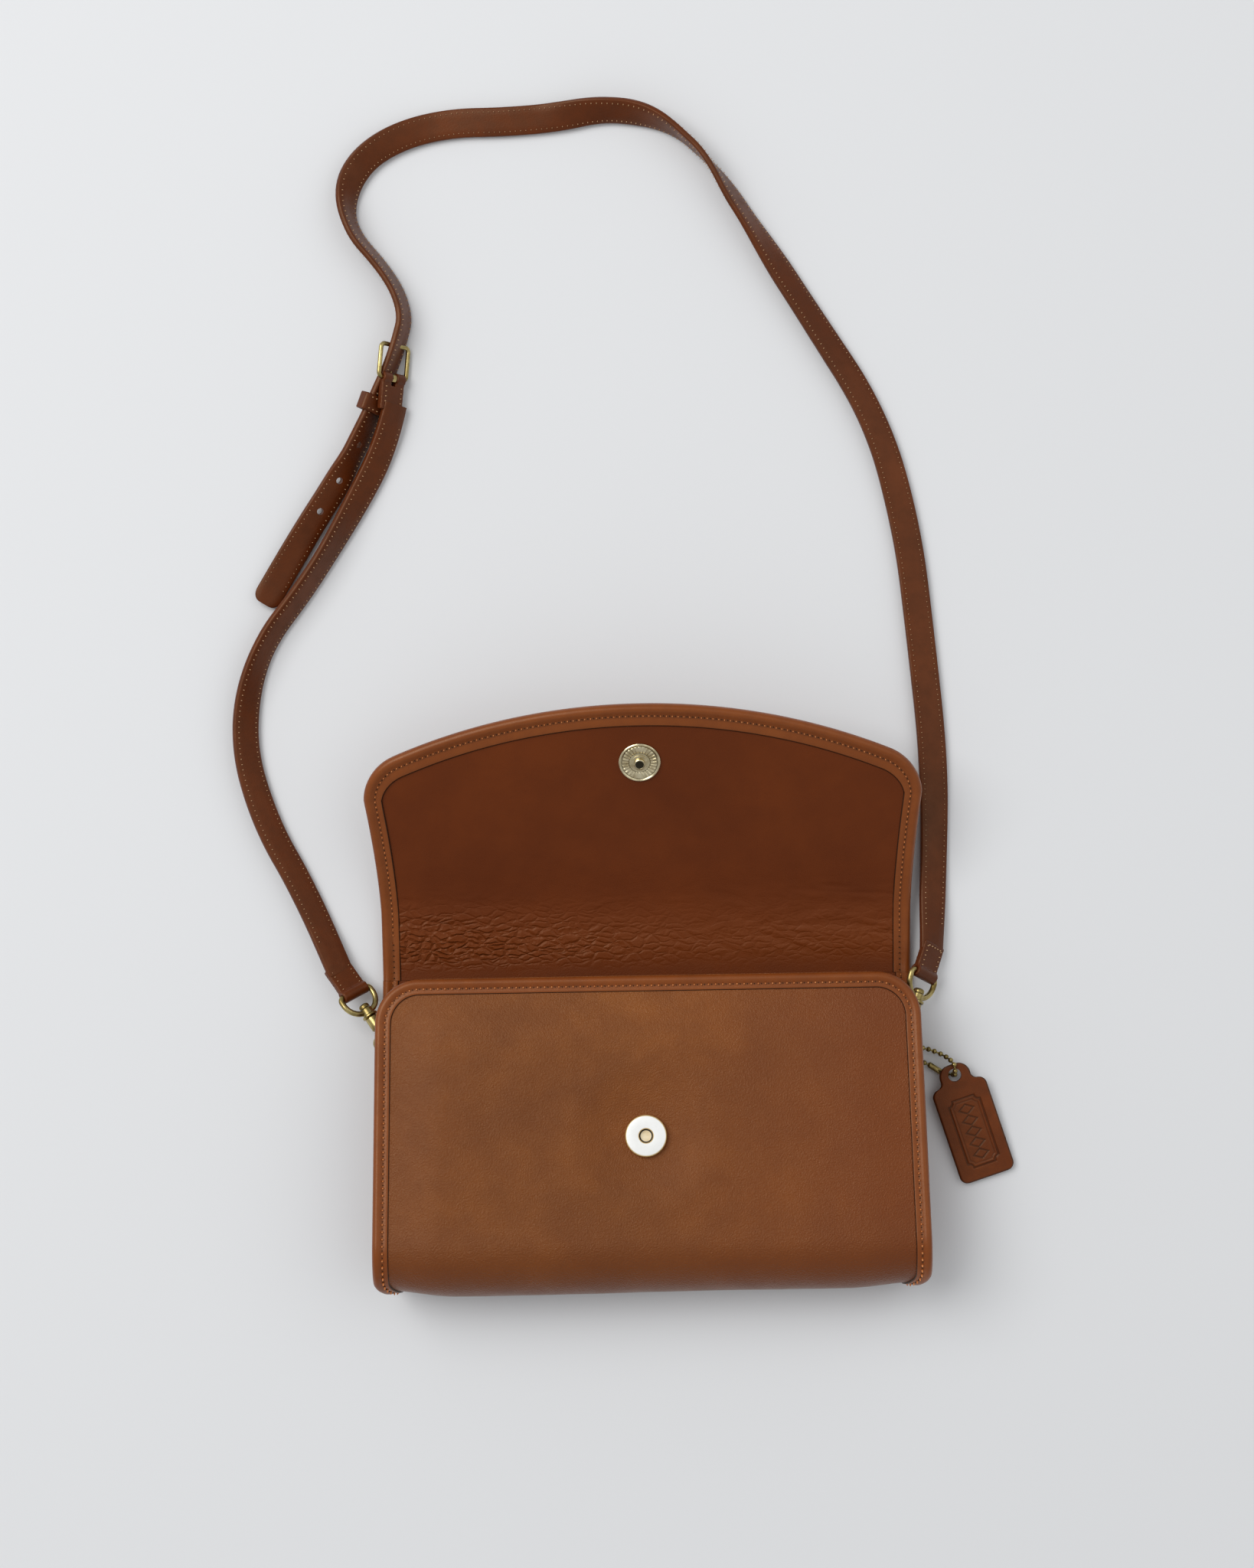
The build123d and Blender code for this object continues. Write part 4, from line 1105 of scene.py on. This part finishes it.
caseSpot = frontSpot(bag["snapX"], bag["snapS"], 0)
caseFrame = frameAt(caseSpot, Vector((1, 0, 0)), frontUp(0, bag["snapS"]))
studFrame = turnedFrame(snap["stud"], ("X", snap["studSlope"]))
for name, source, profile, pattern, place, material, slot, body in (
    ("socketCase", "socket_case", "case", None, caseFrame, brightSteel, "snap_steel", "bag"),
    ("studPlate", "stud_plate", "plate", tickPattern, studFrame, snapBrass, "brass", "flap_front"),
    ("studPost", "stud_post", "post", None, studFrame, snapBrass, "brass", "flap_front"),
):
    piece = placed(turned(name, snap[profile], snap["segments"], pattern), place)
    dressed(piece, material, slot)
    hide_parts(source)
    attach(piece, body)
print("stage: snap")

# back, sides and lining
back = {
    "foldY": 66.0 * mm, "flat": 124.0 * mm, "bend": 10 * mm, "seamZ": 16 * mm, "leather": 2.0 * mm,
    "halfTop": 117.1 * mm, "halfBottom": 121 * mm, "binding": 7.0, "liningHalf": 108.8 * mm,
    "liningTop": 110.4 * mm, "liningFrom": -55.5 * mm, "lining": 1.2 * mm, "edgeStep": 2 * mm, "edgeSpots": 63,
    "holeStart": 2.25 * mm,
}
backRun = back["flat"] + back["bend"] * math.pi / 2 + back["seamZ"] - back["bend"]


def backProfile(s):
    # place and outward direction under the back and up the bottom wall
    if s <= back["flat"]:
        return back["foldY"] - s, 0.0, 0.0, -1.0
    low = back["foldY"] - back["flat"]
    if s <= back["flat"] + back["bend"] * math.pi / 2:
        angle = (s - back["flat"]) / back["bend"]
        return (low - back["bend"] * math.sin(angle), back["bend"] * (1 - math.cos(angle)),
                -math.sin(angle), -math.cos(angle))
    return low - back["bend"], back["bend"] + s - back["flat"] - back["bend"] * math.pi / 2, -1.0, 0.0


def backHalf(y):
    share = (back["foldY"] - y) / (back["foldY"] + bag["length"] / 2)
    half = between(back["halfTop"], back["halfBottom"], share)
    fromBottom = y + bag["length"] / 2
    corner = bag["bottomCorner"]
    return rounding(half, corner, corner - max(fromBottom, 0)) if fromBottom < corner else half


def backPlace(u, v):
    y, z, outY, outZ = backProfile(backRun * v)
    x = (2 * u - 1) * (backHalf(y) - bag["under"])
    dent = 0.12 * mm * (noise.noise(Vector((x * 40, y * 40, 2.0))) - 1)
    return Vector((x, y + outY * dent, z + outZ * dent))


backSheet = thickened(shapedGrid("backPanel", 180, 130, backPlace), back["leather"])
dressed(backSheet, frontLeather, "front_leather")
smoothed(backSheet, 50)
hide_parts("back_panel")
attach(backSheet, "bag")


def innerPlace(u, v):
    y = between(back["liningFrom"], back["foldY"], v)
    x = (2 * u - 1) * between(back["liningHalf"], back["liningTop"], eased(y, 50 * mm, 60 * mm))
    wave = 0.1 * mm * noise.noise(Vector((x * 60, y * 60, 5.0)))
    return Vector((x, y, back["leather"] + back["lining"] + wave))


innerSheet = thickened(shapedGrid("backLining", 110, 70, innerPlace), back["lining"])
dressed(innerSheet, liningLeather, "lining_leather")
smoothed(innerSheet, 50)
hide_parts("back_lining")
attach(innerSheet, "bag")

for side, word in ((1, "right"), (-1, "left")):
    rows = [back["foldY"] - step * back["edgeStep"] for step in range(back["edgeSpots"])]
    spots = [Vector((side * backHalf(y), y, back["leather"] + back["lining"])) for y in rows]
    ups = [Vector((0, 0, 1))] * len(spots)
    sides = [Vector((-side, 0, 0))] * len(spots)
    edge = sweptSection("backBinding_" + word, spots, sides, ups, widened(binding["section"], back["binding"]))
    dressed(edge, bindingLeather, "binding_leather")
    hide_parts("back_binding_" + word)
    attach(edge, "bag")
    # the rows of holes are dark capsules, painted shade in the stitch holes
    for kind, thread, start in (
        ("backStitches", stitchThread, flap["rowStart"]), ("backHoleShade", darkThreadAndHoleShade, back["holeStart"]),
    ):
        row = edgeStitches("backStitches_" + word, kind, (spots, sides, ups), flapPitch, thread, start)
        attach(row, "bag")
    softened(
        "gusset_" + word + "_leather", "gusset_" + word, 0.8 * mm, 0.25 * mm, "bag",
        frontLeather, "front_leather")
    softened(
        "ringTab_" + word, "ring_tab_" + word, 0.45 * mm, 0.1 * mm, "bag",
        bindingLeather, "binding_leather")
print("stage: back and sides")

# strap ends and keeper
ends = {
    "contact": (112.338, 37.381, 16.689), "slope": 13.0, "bar": 30.5 * mm,
    "right": {"turn": 19.5, "lean": 40.0, "mirror": 1}, "left": {"turn": 35.0, "lean": -36.0, "mirror": -1},
    "buckle": (-107.2, 339.6, 7.84), "buckleTurn": -6.0, "buckleLean": 48.0, "heel": 7.3 * mm,
    "keeper": (-116.0, 320.8, 7.7), "keeperTurn": -21.0, "keeperLean": 45.0,
    "stitch": (1.5 * mm, 0.45 * mm, 0.4 * mm), "stitchAcross": 4.5 * mm, "stitchStep": 2.2 * mm,
    "voxel": 0.35 * mm,
}


def stitchRows(name, place, spots, body):
    # stitches at local places (x, y, z, heading), on a leather end
    shape = stitchShape(*ends["stitch"])
    places = []
    for x, y, z, heading in spots:
        turn = Matrix.Rotation(math.radians(heading), 4, "Z")
        places.append(place @ Matrix.Translation(Vector((x, y, z))) @ turn)
    rows = copiesOf(name, shape, places)
    if place.determinant() < 0:
        inEdit(rows, facingOut)  # a mirrored place turns the faces in
    bpy.data.objects.remove(shape)
    dressed(rows, strapThread, "strap_leather")
    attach(rows, body)
    return rows


for word in ("right", "left"):
    end = ends[word]
    place = Matrix.Diagonal((end["mirror"], 1, 1, 1)) @ turnedFrame(
        ends["contact"], ("Z", 90 - end["turn"]), ("Y", ends["slope"]), ("X", end["lean"]))
    softened(
        "strapLoop_" + word, "strap_loop_" + word, ends["voxel"], 0.12 * mm, "hook_" + word,
        strapLeather, "strap_leather")
    rows = []
    for face in (-1, 1):
        level = face * (strap["thickness"] / 2 + 0.22 * mm)
        for step in range(5):
            for edge in (-1, 1):
                along = ends["bar"] + 3 * mm + ends["stitchStep"] * step
                rows.append((along, edge * ends["stitchAcross"], level, 0))
        if word == "right":
            rows += [(ends["bar"] + 12.4 * mm, (step - 2) * 1.9 * mm, level, 90) for step in range(5)]
    stitchRows("loopStitches_" + word, place, rows, "hook_" + word)
buckleFrame = turnedFrame(ends["buckle"], ("Z", ends["buckleTurn"]), ("Y", ends["buckleLean"]))
softened(
    "strapFold", "strap_fold", ends["voxel"], 0.12 * mm, "bag", strapLeather, "strap_leather")
foldRows = []
for face in (-1, 1):
    for step in range(4):
        for edge in (-1, 1):
            along = ends["heel"] + 4 * mm + ends["stitchStep"] * step
            foldRows.append((edge * ends["stitchAcross"], -along, face * 1.52 * mm, 90))
stitchRows("foldStitches", buckleFrame, foldRows, "bag")
keeperFrame = turnedFrame(ends["keeper"], ("Z", ends["keeperTurn"]), ("Y", ends["keeperLean"]))
softened(
    "strapKeeper", "strap_keeper", ends["voxel"], 0.1 * mm, "bag", strapLeather, "strap_leather")
keeperRows = [((step - 2) * 2.4 * mm, y * mm, 2.98 * mm, 0) for y in (-2.5, 2.5) for step in range(5)]
stitchRows("keeperStitches", keeperFrame, keeperRows, "bag")
tuple(longSpots[0])
[tuple(spot) for spot in longSpots]
tuple(shortSpots[-1])
[tuple(spot) for spot in reversed(shortSpots)]
print("stage: strap ends")

# tag
tag = {
    "hole": (135.4, 20.2, 3.2), "turn": 18.0, "tilt": 3.2, "top": 5.0, "length": 53.0, "half": 12.5,
    "tabHalf": 7.0, "shoulder": -4.0, "corner": 3.6, "waist": 2.6, "tabCorner": 5.4, "thick": 2.4,
    "holeRadius": 2.95, "columns": 100, "rows": 210, "under": 1.7 * mm,
    # the pressed border's middle, half sizes, notch and the diamonds in it
    "middle": -26.5, "borderHalf": 7.2, "borderLong": 15.5, "notch": 2.2,
    "diamonds": (-10.4, -5.2, 0, 5.2, 10.4), "diamondHalf": 3.4, "diamondLong": 2.2,
}


def tagHalf(y):
    bottom = tag["top"] - tag["length"]
    if y > tag["top"] - tag["tabCorner"]:
        return rounding(tag["tabHalf"], tag["tabCorner"], y - tag["top"] + tag["tabCorner"])
    if y > tag["shoulder"] + tag["waist"]:
        return tag["tabHalf"]
    if y > tag["shoulder"]:
        past = tag["shoulder"] + tag["waist"] - y
        return tag["tabHalf"] + tag["waist"] - math.sqrt(tag["waist"] ** 2 - past ** 2)
    if y > tag["shoulder"] - tag["corner"]:
        return rounding(tag["half"], tag["corner"], y - tag["shoulder"] + tag["corner"])
    if y < bottom + tag["corner"]:
        return rounding(tag["half"], tag["corner"], bottom + tag["corner"] - y)
    return tag["half"]


def tagPressed(x, y):
    # a plain double border with notched corners, and a row of diamonds inside it
    x = abs(x)
    y -= tag["middle"]
    acrossEdge = x - tag["borderHalf"]
    alongEdge = abs(y) - tag["borderLong"]
    border = max(acrossEdge, alongEdge, tag["notch"] - math.hypot(acrossEdge, alongEdge))
    depth = 0.45 * (1 - eased(abs(border), 0.2, 0.6)) + 0.3 * (1 - eased(abs(border + 1.5), 0.1, 0.45))
    nearest = min(abs(y - step) for step in tag["diamonds"])
    diamond = x / tag["diamondHalf"] + nearest / tag["diamondLong"]
    return depth + 0.38 * (1 - eased(abs(diamond - 1), 0.06, 0.26)) + 0.16 * eased(-border, 1.5, 1.9)


def tagPlace(u, v):
    y = tag["top"] - tag["length"] * (1 - v)
    half = tagHalf(y)
    x = (2 * u - 1) * half
    inside = min(half - abs(x), tag["top"] - y, y - tag["top"] + tag["length"])
    level = tag["thick"] - 0.5 * (1 - eased(inside, 0.0, 0.9)) - tagPressed(x, y)
    level += 0.1 * noise.noise(Vector((x * 0.12, y * 0.12, 3.0)))
    return Vector((x, y, level)) * mm


tagSheet = shapedGrid("hangTag", tag["columns"], tag["rows"], tagPlace)
# darker at the cut edge, its own colour, and in the pressed border and diamonds, painted shade in these
# hollows
tagEdgeAndHollowShade = []
for vertex in tagSheet.data.vertices:
    x, y, level = vertex.co / mm
    inside = min(tagHalf(y) - abs(x), tag["top"] - y, y - tag["top"] + tag["length"])
    tagEdgeAndHollowShade.append(max(0.75 * (1 - eased(inside, 0.2, 0.9)), 0.6 * eased(tagPressed(x, y), 0.15, 0.5)))
toned(tagSheet, tagEdgeAndHollowShade)
thickened(tagSheet, tag["under"])
pickNothing()
bpy.ops.mesh.primitive_cylinder_add(vertices=40, radius=tag["holeRadius"] * mm, depth=10 * mm)
punch = bpy.context.object
cut = tagSheet.modifiers.new("hole", "BOOLEAN")
cut.object = punch
cut.solver = "EXACT"
applyAll(tagSheet)
bpy.data.objects.remove(punch)
placed(tagSheet, turnedFrame(tag["hole"], ("Z", tag["turn"]), ("X", tag["tilt"])))
smoothed(tagSheet, 45)
dressed(tagSheet, tagLeather, "tag_leather")
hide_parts("hang_tag")
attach(tagSheet, "tag")
print("stage: tag")

# metalwork and the hidden pieces
pairedMetal = ("d_ring_", "hook_body_", "hook_rivet_", "hook_gate_", "gate_pin_", "strap_eye_")
finishes = (
    (antiqueBrass, [name + word for name in pairedMetal for word in ("right", "left")]),
    (antiqueBrass, ("buckle_frame", "buckle_prong")),
    (agedBrass, ("tag_chain", "chain_coupling")),
    (paleBrass, ("socket_core",)),
    (brightSteel, ("socket_washer", "stud_washer")),
    # the socket's base takes the dark magnet finish, painted shade in the ring round the core
    (ferriteAndRecessShade, ("socket_magnet", "socket_base")),
)
for finish, names in finishes:
    for name in names:
        dressed(nodes[name], finish, None)
print("stage: carried-over pieces dressed")
